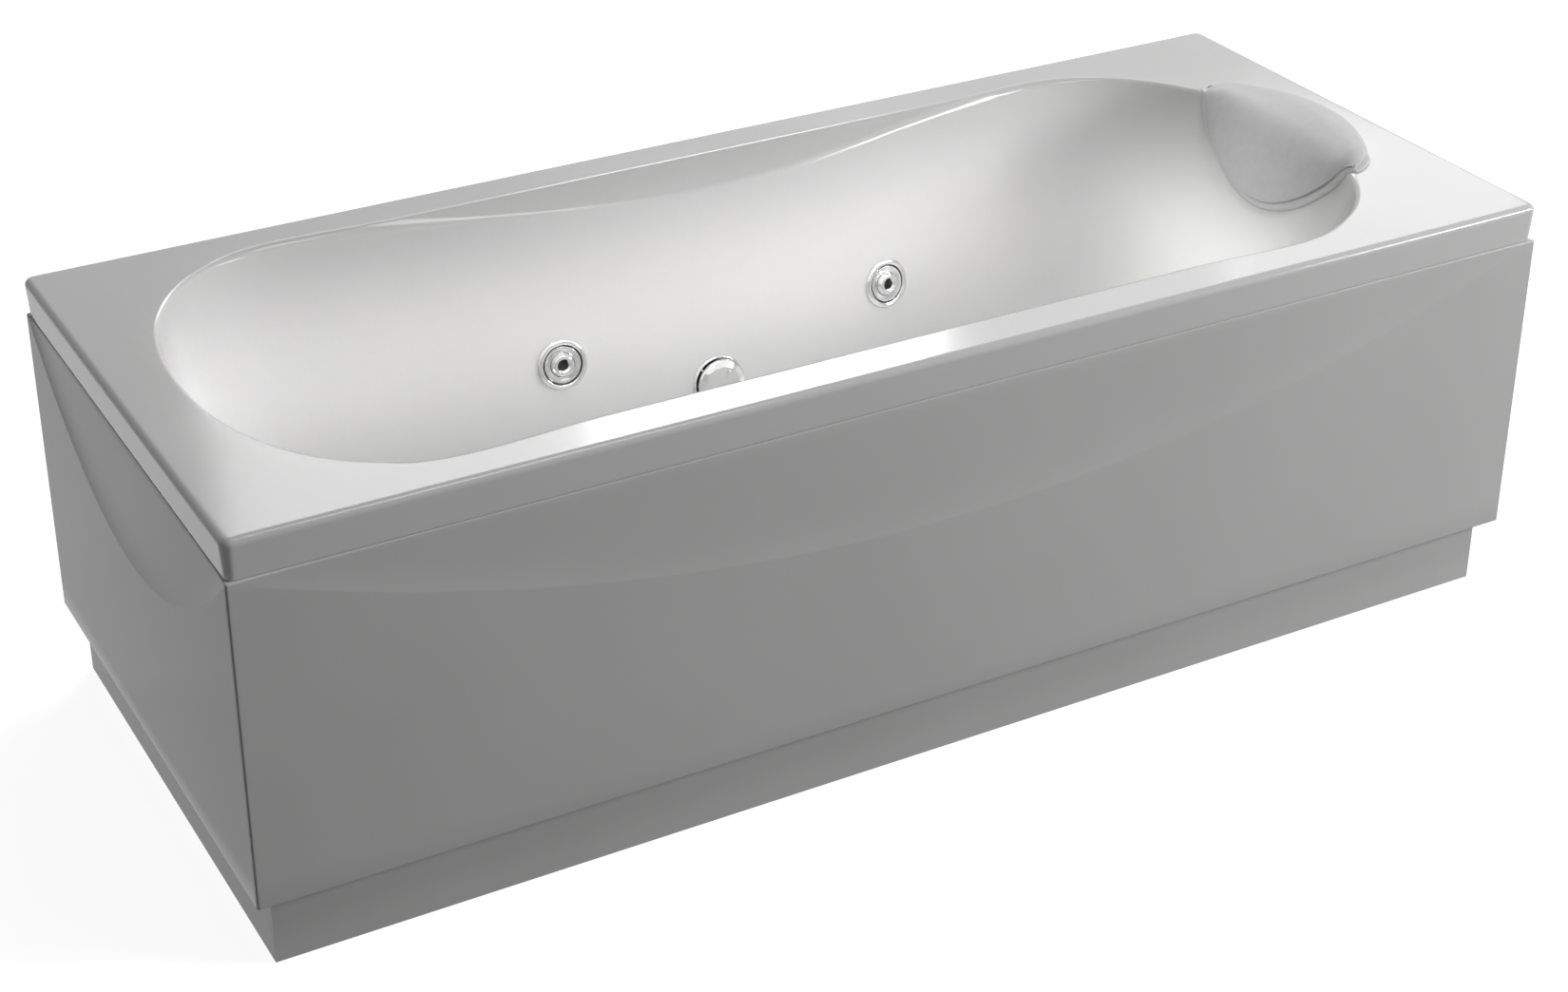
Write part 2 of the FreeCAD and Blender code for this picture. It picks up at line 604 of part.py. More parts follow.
def suction_ring():
    """Chromed flange with a stepped bevel and four posts for the cover."""
    ring = turned([(SUCTION_R, 0), ((SUCTION_R - 0.6, 2.6), (SUCTION_R - 3, 4.0)), (34.6, 4.0),
                   (33.8, 2.9), (24, 2.9), (24, 2.0), (32.2, 2.0), (32.2, 0)])
    posts = []
    for i in range(4):
        post = Part.makeCylinder(2.4, 4.1, V(28.2, 0, 2.7))
        post.rotate(V(0, 0, 0), V(0, 0, 1), 45 + 90 * i)
        posts.append(post)
    return SUCTION_SEAT.place(fused([ring] + posts))


def suction_cover():
    """Domed cap that water is drawn in behind."""
    return SUCTION_SEAT.place(turned([
        (0, 6.8), (31.5, 6.8), ((33.3, 7.4), (33.4, 9.2)), ((20, 15.2), (4, 17.0)), (0, 17.0)]))


def suction_gasket():
    return SUCTION_SEAT.place(turned([
        (27.7, -SEAT_T - 2), (37, -SEAT_T - 2), (37, -SEAT_T), (27.7, -SEAT_T)]))


def suction_nut():
    return SUCTION_SEAT.place(lug_nut(35, 27.35, -SEAT_T - 2, 10, 8))


# ---------------------------------------------------------------- controls on the front wall
def air_valve_body():
    return AIR_SEAT.place(turned([
        (5, -30), (12, -30), (12, 0), (22, 0), ((21.6, 2.2), (20, 3)), (5.08, 3), (5.08, -16), (9, -16),
        (9, -26), (5, -26)]))


def air_knob():
    knob = turned([(0, -14), (5, -14), (5, 3.6), (17.5, 3.6), (17.5, 12), ((16.6, 14.6), (14, 15.4)),
                   (0, 16.4)])
    grooves = []
    for i in range(12):
        groove = Part.makeCylinder(1.6, 20, V(18.4, 0, 2))
        groove.rotate(V(0, 0, 0), V(0, 0, 1), 30 * i)
        grooves.append(groove)
    return AIR_SEAT.place(knob.cut(grooves))


def button_body():
    return BUTTON_SEAT.place(turned([
        (2.2, -28), (10.8, -28), (10.8, 0), (18, 0), ((17.5, 2.4), (16, 3.2)), (12.6, 3.2), (12.6, 0.8),
        (8.8, 0.8), (8.8, -24), (2.2, -24)]))


def start_button():
    """Air button: a cap on a piston, with room behind it for the bellows."""
    return BUTTON_SEAT.place(turned([
        (0, -14), (8.5, -14), (8.5, 4.5), (12.2, 4.5), (12.2, 7.4), ((9, 9.4), (2, 10.2)), (0, 10.2)]))


# ---------------------------------------------------------------- waste and overflow
def waste_flange():
    ring = turned([(20, 96), (23, 96), (23, FLOOR_Z), (35, FLOOR_Z), ((34.4, 127.2), (32, 128)),
                   (24, 128), (20, 125.5)])
    hub = turned([(4.08, 104), (8, 104), (8, 112), (4.08, 112)])
    bars = box(-20.5, 20.5, -2.5, 2.5, 104, 110).cut(Part.makeCylinder(6, 40, V(0, 0, 90)))
    whole = fused([ring, hub, bars])
    whole.translate(V(WASTE_X, 0, 0))
    return whole


def waste_body():
    body = turned([(20.5, 60), (28, 60), (28, 112), (36, 112), (36, BASIN_BOTTOM), (23.2, BASIN_BOTTOM),
                   (23.2, 94), (20.5, 94)])
    body.translate(V(WASTE_X, 0, 0))
    port = rod(V(WASTE_X - 45, 0, 95), V(WASTE_X - 24, 0, 95), 16.0)
    inner = rod(V(WASTE_X - 46, 0, 95), V(WASTE_X - 20, 0, 95), 13.5)
    clear = rod(V(WASTE_X, 0, 62), V(WASTE_X, 0, BASIN_BOTTOM), 23.2)
    return body.fuse(port.cut(clear)).cut(inner).removeSplitter()


def waste_plug():
    plug = turned([(0, 78), (4, 78), (4, 128.4), (25, 128.4), ((24.6, 130.4), (22, 131.4)),
                   ((11, 133.0), (3, 133.4)), (0, 133.4)])
    plug.translate(V(WASTE_X, 0, 0))
    return plug


def overflow_body():
    """Rosette, throat through the wall and a chamber with a downward spigot."""
    chamber = turned([(0, -35), (27, -35), (27, -SEAT_T), (21.4, -SEAT_T), (21.4, 0), (30, 0),
                      ((29.5, 2.6), (28, 3.2)), (5.08, 3.2), (5.08, -14), (18, -14), (18, -31), (0, -31)])
    slots = []
    for i in range(8):
        slot = box(9, 17, -2.6, 2.6, -20, 5)
        slot.rotate(V(0, 0, 0), V(0, 0, 1), 45 * i)
        slots.append(slot)
    chamber = OVERFLOW_SEAT.place(chamber.cut(slots))
    middle = OVERFLOW_SEAT.at(-21)
    foot_z = 398.0
    spigot = rod(V(middle.x, 0, middle.z - 12), V(middle.x, 0, foot_z), 16.0)
    inner = rod(V(middle.x, 0, middle.z - 5), V(middle.x, 0, foot_z - 2), 13.0)
    hollow = OVERFLOW_SEAT.place(turned([(0, -31), (18, -31), (18, -14), (0, -14)]))
    return chamber.fuse(spigot.cut(hollow)).cut(inner).removeSplitter()


def overflow_knob():
    knob = turned([(0, -12), (5, -12), (5, 7), (33, 7), (33, 15), ((32, 18.4), (28, 19.6)), (0, 21)])
    grips = []
    for i in range(16):
        grip = Part.makeCylinder(2.2, 20, V(34.2, 0, 5))
        grip.rotate(V(0, 0, 0), V(0, 0, 1), 22.5 * i)
        grips.append(grip)
    return OVERFLOW_SEAT.place(knob.cut(grips))


def overflow_pipe():
    x = OVERFLOW_SEAT.at(-21).x
    route = [V(x, 0, 398), V(x, 0, 95), V(WASTE_X - 45, 0, 95)]
    return swept(route, 40, 16.0).cut(swept(route, 40, 13.5))


def drain_trap():
    """Shallow trap under the waste, with its outlet towards the wall."""
    pot = turned([(0, 12), (36, 12), ((38.2, 13), (39, 16)), (39, 60), (20.5, 60), (20.5, 57), (36, 57),
                  (36, 15), (0, 15)])
    pot.translate(V(WASTE_X, 0, 0))
    end = V(WASTE_X, OUTLET_END_Y, OUTLET_Z)
    way_out = rod(V(WASTE_X, 34, OUTLET_Z), end, OUTLET_R)
    way_in = rod(V(WASTE_X, 30, OUTLET_Z), end + V(0, 1, 0), OUTLET_R - 3)
    stop = V(WASTE_X, OUTLET_STOP_Y, OUTLET_Z)
    shoulder = rod(stop - V(0, 12, 0), stop, OUTLET_STOP_R)
    room = Part.makeCylinder(36, 42, V(WASTE_X, 0, 15))
    return pot.multiFuse([way_out.cut(room), shoulder]).cut(way_in).removeSplitter()


# ---------------------------------------------------------------- pump
def on_shaft(shape):
    """Lay a shape made about local Z along the pump shaft: local Z becomes +Y."""
    moved = shape.copy()
    turn = FreeCAD.Rotation(V(1, 0, 0), -90)
    moved.Placement = FreeCAD.Placement(V(PUMP_X, 0, PUMP_Z), turn)
    return moved


def pump_plate():
    plate = box(PUMP_X - 90, RAIL_X1, -150, 150, RAIL_Z1, RAIL_Z1 + PLATE_T)
    lip = box(RAIL_X1 - PLATE_T, RAIL_X1, -110, 110, RAIL_Z1 + PLATE_T, RAIL_Z1 + PLATE_T + 12)
    return fused([plate, lip])


def pump_pads():
    return group([Part.makeCylinder(11, PAD_H, V(PUMP_X + dx, dy, RAIL_Z1 + PLATE_T))
                  for dx in (-38, 38) for dy in (-95, -15)])


def pump_motor():
    casing = on_shaft(turned([
        (20, MOTOR_Y0), (MOTOR_R - 4, MOTOR_Y0), ((MOTOR_R - 1, MOTOR_Y0 + 1), (MOTOR_R, MOTOR_Y0 + 4)),
        (MOTOR_R, MOTOR_Y1), (SHAFT_R + SHAFT_GAP, MOTOR_Y1), (SHAFT_R + SHAFT_GAP, 16), (56, 16), (56, -96),
        (SHAFT_R + SHAFT_GAP, -96), (SHAFT_R + SHAFT_GAP, -104), (56, -104), (56, MOTOR_Y0 + 4),
        (20, MOTOR_Y0 + 4)]))
    ribs = []
    for i in range(20):
        angle = 18 * i
        if 60 < angle < 120 or 230 < angle < 310:
            continue
        rib = box(MOTOR_R - 1, MOTOR_R + 5, -1.3, 1.3, -96, 14)
        rib.rotate(V(0, 0, 0), V(0, 0, 1), angle)
        ribs.append(on_shaft(rib))
    foot_block = box(PUMP_X - 52, PUMP_X + 52, -112, 4, PUMP_FOOT_Z, PUMP_FOOT_Z + 26)
    core = on_shaft(Part.makeCylinder(57, 16 - MOTOR_Y0, V(0, 0, MOTOR_Y0)))
    return fused([casing, foot_block.cut(core)] + ribs)


def pump_volute():
    casing = on_shaft(turned([
        (SHAFT_R + 2, MOTOR_Y1), (70, MOTOR_Y1), ((73.6, 26), (VOLUTE_R, 30)), (VOLUTE_R, 90),
        ((73, 97), (66, VOLUTE_Y1)), (28, VOLUTE_Y1), (26, INLET_Y), (20, INLET_Y), (20, 94), (64, 94),
        (68, 90), (68, 30), (SHAFT_R + 2, 30)]))
    port = rod(V(PUMP_X, DISCHARGE_Y, PUMP_Z + 66), V(PUMP_X, DISCHARGE_Y, DISCHARGE_Z), 19)
    port = port.cut(on_shaft(Part.makeCylinder(68, 60, V(0, 0, 30))))
    bore = rod(V(PUMP_X, DISCHARGE_Y, PUMP_Z + 50), V(PUMP_X, DISCHARGE_Y, DISCHARGE_Z + 1), 11.5)
    return casing.fuse(port).cut(bore).removeSplitter()


def pump_rotor():
    """Shaft with the motor core, the cooling fan and the impeller."""
    solids = [Part.makeCylinder(SHAFT_R, 196, V(0, 0, -125)), Part.makeCylinder(46, 96, V(0, 0, -88)),
              Part.makeCylinder(18, 12, V(0, 0, -124)), Part.makeCylinder(54, 4, V(0, 0, 40))]
    for i in range(8):
        blade = box(12, 50, -1.2, 1.2, -124, -110)
        blade.rotate(V(0, 0, 0), V(0, 0, 1), 45 * i)
        solids.append(blade)
    for i in range(6):
        vane = box(20, 54, -2, 2, 43, 62)
        vane.rotate(V(0, 0, 0), V(0, 0, 1), 60 * i + 15)
        solids.append(vane)
    return on_shaft(fused(solids))


def control_box():
    """Terminal box on the motor, with the air switch inside."""
    x0, x1, y0, y1, z0, z1 = PUMP_X - 42, PUMP_X + 42, -112, -22, PUMP_Z + 55, 297
    case = box(x0, x1, y0, y1, z0, z1)
    case = case.makeFillet(5, [e for e in case.Edges if e.BoundBox.ZLength > 10])
    wall = 3.0
    room = box(x0 + wall, x1 - wall, y0 + wall, y1 - wall, z0 - 1, z1 - wall)
    return case.cut([room, on_shaft(Part.makeCylinder(MOTOR_R + 5.3, 200, V(0, 0, -150)))])


def cable_gland():
    x = PUMP_X + 42
    return tube(V(x, -95, 276), V(x + 22, -95, 276), 9.0, 4.0)


# ---------------------------------------------------------------- pipes
def hollow_run(routes, bend, radius, wall):
    """Pipes of one bore joined into a single manifold."""
    outer = fused([swept(route, bend, radius) for route in routes])
    inner = [swept(route, bend, radius - wall) for route in routes]
    return outer.cut(inner)


def jet_stub(seat, side):
    """Where a jet's axis, run on behind it, comes over the water main."""
    start = seat.at(-JET_DEPTH)
    reach = (side * WATER_Y - start.y) / -seat.axis.y
    return start, start - seat.axis * reach


def water_pipes():
    """Main from the pump to both long sides, with a stub to each jet."""
    starts = [jet_stub(seat, 1 if i < 2 else -1) for i, seat in enumerate(JET_SEATS)]
    z = sum(end.z for _, end in starts) / len(starts)
    far = min(end.x for _, end in starts) - 20
    main = [V(far, WATER_Y, z), V(PUMP_X, WATER_Y, z), V(PUMP_X, -WATER_Y, z), V(far, -WATER_Y, z)]
    outer = [swept(main, 40, WATER_R)]
    inner = [swept([main[0] + V(4, 0, 0)] + main[1:3] + [main[3] + V(4, 0, 0)], 40, WATER_R - PIPE_WALL)]
    for start, end in starts:
        outer.append(rod(start, end, WATER_R - 1))
        inner.append(rod(start + (start - end) * 0.05, end, WATER_R - 1 - PIPE_WALL))
    riser = V(PUMP_X, DISCHARGE_Y, DISCHARGE_Z)
    outer.append(rod(riser, V(PUMP_X, DISCHARGE_Y, z), WATER_R))
    inner.append(rod(riser - V(0, 0, 1), V(PUMP_X, DISCHARGE_Y, z), WATER_R - PIPE_WALL))
    return fused(outer).cut(inner)


def air_pipes():
    """Loop from the air valve to every jet."""
    far = JET_MID - JET_PITCH / 2 - 25
    main = [V(far, AIR_Y, AIR_Z), V(AIR_X, AIR_Y, AIR_Z), V(AIR_X, -AIR_Y, AIR_Z), V(far, -AIR_Y, AIR_Z)]
    outer, inner = [swept(main, 24, AIR_R)], [swept(main, 24, AIR_R - 2)]
    for i, seat in enumerate(JET_SEATS):
        start = seat.at(NIPPLE_Z, NIPPLE_END)
        corner = start + seat.up * ((AIR_Z - start.z) / seat.up.z)
        route = [start, corner, V(corner.x, AIR_Y if i < 2 else -AIR_Y, AIR_Z)]
        outer.append(swept(route, 9, 6.0))
        inner.append(swept(route, 9, 4.0))
    start = AIR_SEAT.at(-30)
    corner = start + AIR_SEAT.axis * ((-AIR_Y - start.y) / AIR_SEAT.axis.y)
    route = [start, corner, V(corner.x, -AIR_Y, AIR_Z)]
    outer.append(swept(route, 9, AIR_R))
    inner.append(swept(route, 9, AIR_R - 2))
    return fused(outer).cut(inner)


def suction_pipe():
    start = SUCTION_SEAT.at(-46)
    turn = start - SUCTION_SEAT.axis * ((SUCTION_PIPE_Y - start.y) / -SUCTION_SEAT.axis.y)
    route = [start, turn, V(PUMP_X, SUCTION_PIPE_Y, turn.z), V(PUMP_X, SUCTION_PIPE_Y, PUMP_Z),
             V(PUMP_X, INLET_Y, PUMP_Z)]
    return hollow_run([route], 23, SUCTION_PIPE_R, PIPE_WALL)


def signal_tube():
    """Thin air line from the start button to the switch in the control box."""
    start = BUTTON_SEAT.at(-28)
    turn = start + BUTTON_SEAT.axis * ((SIGNAL_Y - start.y) / BUTTON_SEAT.axis.y)
    route = [start, turn, V(turn.x, SIGNAL_Y, SIGNAL_Z), V(SIGNAL_X, SIGNAL_Y, SIGNAL_Z),
             V(SIGNAL_X, SIGNAL_BOX_Y, SIGNAL_Z), V(SIGNAL_X, SIGNAL_BOX_Y, SIGNAL_BOX_Z),
             V(PUMP_X + 42, SIGNAL_BOX_Y, SIGNAL_BOX_Z)]
    return swept(route, 12, SIGNAL_R).cut(swept(route, 12, SIGNAL_R / 2))


# ---------------------------------------------------------------- headrest
def backrest_x(y, depth):
    """Where the backrest's surface is, at one side offset and depth."""
    head_turn, head_end = HEAD_TURN - HEAD_TURN_SLOPE * depth, HEAD_X - HEAD_SLOPE * depth
    share = min(0.999, abs(y) / (LOBE_HALF - LOBE_DRAFT * depth))
    return head_turn + (head_end - head_turn) * (1 - share ** END_POWER) ** (1 / END_POWER)


def rest_section(y, lift, trim):
    """Upper end, corner and lower end of the headrest's seat, lifted off the acrylic."""
    reach = max(0.0, 1 - (y / REST_HALF) ** 2)
    drop = max(5.0, REST_DROP * reach ** 0.6 - trim)
    normal = V(-math.sin(math.radians(62)), 0, math.cos(math.radians(62)))
    upper = V(REST_TIP_X + REST_TOP * max(0.0, 1 - (y / (REST_HALF + 8)) ** 2) - trim, y, RIM_Z + lift)
    low = V(backrest_x(y, drop), y, RIM_Z - drop) + normal * lift
    rim = V(backrest_x(y, 0), y, RIM_Z) + normal * lift
    slope = (rim.x - low.x) / (rim.z - low.z)
    corner = V(rim.x + slope * (upper.z - rim.z), y, upper.z)
    return upper, corner, low


REST_STATIONS = (-REST_HALF, -148, -125, -95, -50, 0, 50, 95, 125, 148, REST_HALF)


def headrest_base():
    wires = []
    for y in REST_STATIONS:
        under = rest_section(y, REST_GAP, 0)
        over = rest_section(y, REST_GAP + REST_BASE_T, 0)
        wires.append(Part.makePolygon(list(under) + list(over[::-1]) + [under[0]]))
    return Part.makeLoft(wires, True, False)


def headrest_cushion():
    """Crowned pad: its seat follows the base, its face is one arc at every station."""
    wires = []
    out = V(-math.sin(math.radians(31)), 0, math.cos(math.radians(31)))
    for y in REST_STATIONS:
        upper, corner, low = rest_section(y, REST_GAP + REST_BASE_T, 5.0)
        reach = max(0.0, 1 - (y / (REST_HALF + 8)) ** 2)
        crown = corner + out * (REST_THICK * reach)
        wires.append(Part.Wire([Part.LineSegment(upper, corner).toShape(),
                                Part.LineSegment(corner, low).toShape(),
                                Part.Arc(low, crown, upper).toShape()]))
    return Part.makeLoft(wires, True, False)


# ---------------------------------------------------------------- all nodes
def all_nodes():
    nodes = {make.__name__: make() for make in (
        tub_shell, base_board, front_apron, end_apron, front_plinth, end_plinth, apron_clips,
        apron_screws, frame_rails, cross_members, uprights, foot_nuts, wall_brackets, jet_bodies,
        jet_trims, jet_gaskets, jet_nuts, suction_body, suction_ring, suction_cover, suction_gasket,
        suction_nut, air_valve_body, air_knob, button_body, start_button, waste_flange, waste_body,
        waste_plug, overflow_body, overflow_knob, overflow_pipe, drain_trap, pump_plate, pump_pads,
        pump_motor, pump_volute, pump_rotor, control_box, cable_gland, water_pipes, air_pipes,
        suction_pipe, signal_tube, headrest_base, headrest_cushion)}
    places = [(x, y) for x in CROSS_X for y in (-FOOT_Y, FOOT_Y)]
    for number, (x, y) in enumerate(places, 1):
        nodes[f"foot_{number}"] = foot(x, y)
    for number, seat in enumerate(JET_SEATS, 1):
        nodes[f"jet_{number}_ring"] = seat.place(turning_ring())
        nodes[f"jet_{number}_nozzle"] = seat.place(swivel_nozzle())
    return nodes


if __name__ == "__main__":
    os.makedirs("parts", exist_ok=True)
    for name, shape in all_nodes().items():
        shape.exportStep(f"parts/{name}.step")
        print(f"{name:20s} valid={shape.isValid()} solids={len(shape.Solids)} "
              f"volume={shape.Volume / 1000:.1f} cm3")
    for name, seat in (("suction", SUCTION_SEAT), ("air", AIR_SEAT), ("button", BUTTON_SEAT),
                       ("overflow", OVERFLOW_SEAT), *((f"jet_{i + 1}", s) for i, s in enumerate(JET_SEATS))):
        print(name, "centre", [round(v, 3) for v in seat.centre], "axis",
              [round(v, 6) for v in seat.axis], "across", [round(v, 6) for v in seat.across])
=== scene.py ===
"""Jetted bathtub: fine skins, finishes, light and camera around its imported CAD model.

Lengths are written in millimetres in the part's frame (+X head end, -Y room, +Z up) and
turned into metres where a mesh is made. The floor, the lamps and the camera are in metres.
"""
import math

import bmesh
import bpy
import numpy as np
from mathutils import Matrix, Vector


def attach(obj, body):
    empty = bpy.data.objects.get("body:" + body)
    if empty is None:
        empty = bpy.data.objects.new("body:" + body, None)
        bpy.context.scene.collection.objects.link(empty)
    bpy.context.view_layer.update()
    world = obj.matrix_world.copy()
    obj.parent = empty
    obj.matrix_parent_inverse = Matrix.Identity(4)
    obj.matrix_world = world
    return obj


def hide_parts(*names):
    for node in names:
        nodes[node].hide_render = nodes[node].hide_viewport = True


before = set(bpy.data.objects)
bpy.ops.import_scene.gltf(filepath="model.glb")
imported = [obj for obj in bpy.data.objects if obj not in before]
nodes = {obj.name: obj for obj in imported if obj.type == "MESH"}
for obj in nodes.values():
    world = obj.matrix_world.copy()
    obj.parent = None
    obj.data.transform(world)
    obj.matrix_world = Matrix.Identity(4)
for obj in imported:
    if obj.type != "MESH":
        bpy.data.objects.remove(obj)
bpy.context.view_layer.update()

# ------------------------------------------------------------------ sizes, as in the CAD model
LENGTH, WIDTH, RIM_Z = 1700.0, 700.0, 540.0     # overall size of the bath
RIM_CORNER, RIM_FILLET = 12.0, 8.0              # rounding of the rim in plan, and of its top edge
LIP_Z, LIP_T = 492.0, 5.0                       # the lip's lower edge, thickness of lip and deck
SHELL_T, FLOOR_Z, FLOOR_R = 6.0, 125.0, 60.0    # basin wall, basin floor, rounding between them
LOBE_HALF, LOBE_DRAFT = 293.0, 0.17             # half width at the lobes, and its loss per mm of depth
WAIST_HALF, WAIST_DRAFT = 252.6, 0.19           # the same at the waist
WAIST_X, WAIST_SPAN = -12.0, 550.0              # middle and half length of the waist
FOOT_X, FOOT_SLOPE = -775.0, 0.20               # foot end of the basin, and its draft
HEAD_X, HEAD_SLOPE = 742.0, 0.532               # head end, and the slope of the backrest
FOOT_TURN, FOOT_TURN_SLOPE = -550.0, 0.10       # where the foot end starts to round off
HEAD_TURN, HEAD_TURN_SLOPE = 500.0, 0.45        # where the head end starts to round off
END_POWER = 2.2                                 # superellipse power of both rounded ends
ARM_CREASE, ARM_SLOPE = 291.0, 0.667            # half width of the armrest crease, and its fall

JET_MID, JET_PITCH, JET_Z = 23.0, 482.0, 325.0  # the pair of jets on each long side
JET_R, BALL_R = 33.5, 16.0                      # trim ring and swivelling nozzle
SUCTION_X, SUCTION_Z, SUCTION_R = -7.0, 257.0, 38.0     # suction fitting
CONTROL_Z, AIR_KNOB_X, BUTTON_X = 470.0, 150.0, -60.0   # air knob and start button
WASTE_X, OVERFLOW_Z = -560.0, 440.0             # waste and overflow
SIDE_SINK, END_SINK = 0.5, 1.2                  # how far a fitting's seat lies behind the wall

PANEL_Z0, PANEL_T = 90.0, 5.0                   # the aprons' lower edge and thickness
RETURN_Y, RETURN_T, FLANGE_Y = 14.0, 4.0, 28.0  # their turned-in edges, and depth of the lower one
PANEL_GAP, CORNER_R = 0.5, 2.5                  # gap between them, rounding of the upright edge
ARC_LOW, ARC_RISE = 330.0, 161.0                # pressed arc: lowest height, and rise to the corners

# ------------------------------------------------------------------ sizes of the finer skins
LIP_DRAFT, LIP_BACK, DECK_FILLET = 2.5, 8.0, 3.0    # lip: draw, inset of its inner face, inner fillet
ARM_X0, ARM_X1, ARM_FADE = -500.0, 470.0, 40.0  # where the armrests fade out, and over what length
CREASE_R, MOUTH_R, ARM_EDGE_R = 1.8, 8.3, 4.4   # rounding of the crease, the mouth, the armrest's edge
ARM_BLEND, WALL_BLEND = 14.0, 20.0              # depths over which edge rounding and thickness change

PANEL_Z1 = 491.5                                # the aprons' upper edge, just under the lip's foot
EDGE_R, TOP_R = 1.2, 2.4                        # rounding of their lower and upper edge
FIELD_DEEP, FIELD_RUN = 2.5, 24.0               # depth of the field above the arc, and how fast it comes
INSIDE, SLIP = 6.0, 0.1                         # turned-in edges: start at the foot end, and inset

REST_BASE_HALF, REST_PAD_HALF = 164.0, 155.0    # half widths of the headrest's back plate and pad
REST_TIP_X, REST_TIP_R = 743.0, 28.0            # its rounded tips
REST_BACK_X, REST_INSET = 802.0, 3.0            # the pad's end on the deck, the plate's distance from it
REST_DROP, REST_BAND = 101.0, 7.5               # how far it hangs down, the band of plate that shows
REST_BASE_T, REST_EDGE_T = 8.5, 2.2             # back plate: thickness in the middle and at the tips
REST_GAP, REST_THICK = 1.0, 9.0                 # gap to the acrylic, crown of the pad


# ------------------------------------------------------------------ mesh helpers
def add_object(name, data):
    """New object in the scene, around a mesh, a lamp or a camera."""
    thing = bpy.data.objects.new(name, data)
    bpy.context.scene.collection.objects.link(thing)
    return thing


def make_object(name, mesh, material, body, replaced=(), smooth=35.0):
    """A piece of the bath; its edges look sharp above the angle given by smooth."""
    mesh.materials.clear()
    mesh.materials.append(material)
    mesh.polygons.foreach_set("use_smooth", [True] * len(mesh.polygons))
    mesh.set_sharp_from_angle(angle=math.radians(smooth))
    piece = add_object(name, mesh)
    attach(piece, body)
    if replaced:
        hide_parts(*replaced)
    return piece


def finish_bmesh(bm, name):
    """Mesh made from a bmesh, its normals outward."""
    bmesh.ops.recalc_face_normals(bm, faces=bm.faces)
    mesh = bpy.data.meshes.new(name)
    bm.to_mesh(mesh)
    bm.free()
    return mesh


def add_faces(bm, points, faces):
    """Adds points (mm) and faces to a bmesh, and returns the new vertices."""
    verts = [bm.verts.new((x / 1000, y / 1000, z / 1000)) for x, y, z in points]
    for face in faces:
        bm.faces.new([verts[i] for i in face])
    return verts


def grid_faces(rows, columns):
    """Quads of a grid closed around its columns; a point's index is row * columns + column."""
    return [(r * columns + c, r * columns + (c + 1) % columns,
             (r + 1) * columns + (c + 1) % columns, (r + 1) * columns + c)
            for r in range(rows - 1) for c in range(columns)]


def tube_faces(sections, count):
    """Faces of a stack of closed sections, with both ends capped."""
    caps = [tuple(range(count)), tuple(range((sections - 1) * count, sections * count))]
    return grid_faces(sections, count) + caps


def rounded(points, radii, steps=6, closed=False):
    """Rounds the corners of a 2-D line; radii holds one radius per point, or one for all."""
    if not isinstance(radii, (list, tuple)):
        radii = [radii] * len(points)
    straight, most = 0.02, 0.48         # a bend too small to round, and the most of an edge that one takes
    count, result = len(points), []
    for i, (point, radius) in enumerate(zip(points, radii)):
        at_end = not closed and i in (0, count - 1)
        if radius <= 0 or at_end:
            result.append(tuple(point))
            continue
        here = Vector(point)
        before, after = Vector(points[i - 1]) - here, Vector(points[(i + 1) % count]) - here
        bend = math.pi - before.angle(after)
        if bend < straight:
            result.append(tuple(point))
            continue
        reach = min(radius * math.tan(bend / 2), before.length * most, after.length * most)
        radius = reach / math.tan(bend / 2)
        before.normalize()
        after.normalize()
        centre = here + (before + after).normalized() * (radius / math.cos(bend / 2))
        first, last = here + before * reach - centre, here + after * reach - centre
        for k in range(steps + 1):
            spoke = (first * (1 - k / steps) + last * (k / steps)).normalized() * radius
            result.append(tuple(centre + spoke))
    return result


def section(*corners, steps=6):
    """Closed profile from corners given as (radius, height, rounding)."""
    return rounded([corner[:2] for corner in corners], [corner[2] for corner in corners], steps, True)


def lathe(profile, segments=96):
    """Points and faces of a closed profile (radius, height) turned about local Z."""
    points, faces, rings = [], [], []
    for radius, height in profile:
        if radius < 1e-6:
            rings.append([len(points)])
            points.append((0.0, 0.0, height))
            continue
        rings.append(list(range(len(points), len(points) + segments)))
        for k in range(segments):
            angle = 2 * math.pi * k / segments
            points.append((radius * math.cos(angle), radius * math.sin(angle), height))
    for a, b in zip(rings, rings[1:] + rings[:1]):
        if len(a) == 1 and len(b) == 1:
            continue
        for k in range(segments):
            n = (k + 1) % segments
            if len(a) == 1:
                faces.append((a[0], b[k], b[n]))
            elif len(b) == 1:
                faces.append((a[k], b[0], a[n]))
            else:
                faces.append((a[k], b[k], b[n], a[n]))
    return points, faces


class Seat:
    """A place on the wall: local Z runs along axis, X across, Y up."""

    def __init__(self, centre, axis):
        z = Vector(axis).normalized()
        x = Vector((0, 0, 1)).cross(z)
        x = x.normalized() if x.length > 1e-6 else Vector((1, 0, 0))
        y = z.cross(x)
        turn = Matrix((x, y, z)).transposed().to_4x4()
        self.matrix = Matrix.Translation(Vector(centre)) @ turn

    def add(self, bm, profile, segments=96, shift=(0.0, 0.0)):
        """Adds a turned profile to a bmesh; shift moves it across and up."""
        points, faces = lathe(profile, segments)
        moved = [self.matrix @ Vector((x + shift[0], y + shift[1], z)) for x, y, z in points]
        return add_faces(bm, moved, faces)


def turned_piece(name, seat, profile, material, body, replaced=(), segments=96):
    """A piece of the bath turned about a seat's axis."""
    bm = bmesh.new()
    seat.add(bm, profile, segments)
    return make_object(name, finish_bmesh(bm, name), material, body, replaced)


# ------------------------------------------------------------------ materials
def new_material(name):
    material = bpy.data.materials.new(name)
    material.use_nodes = True
    tree = material.node_tree
    return material, tree, tree.nodes["Principled BSDF"]


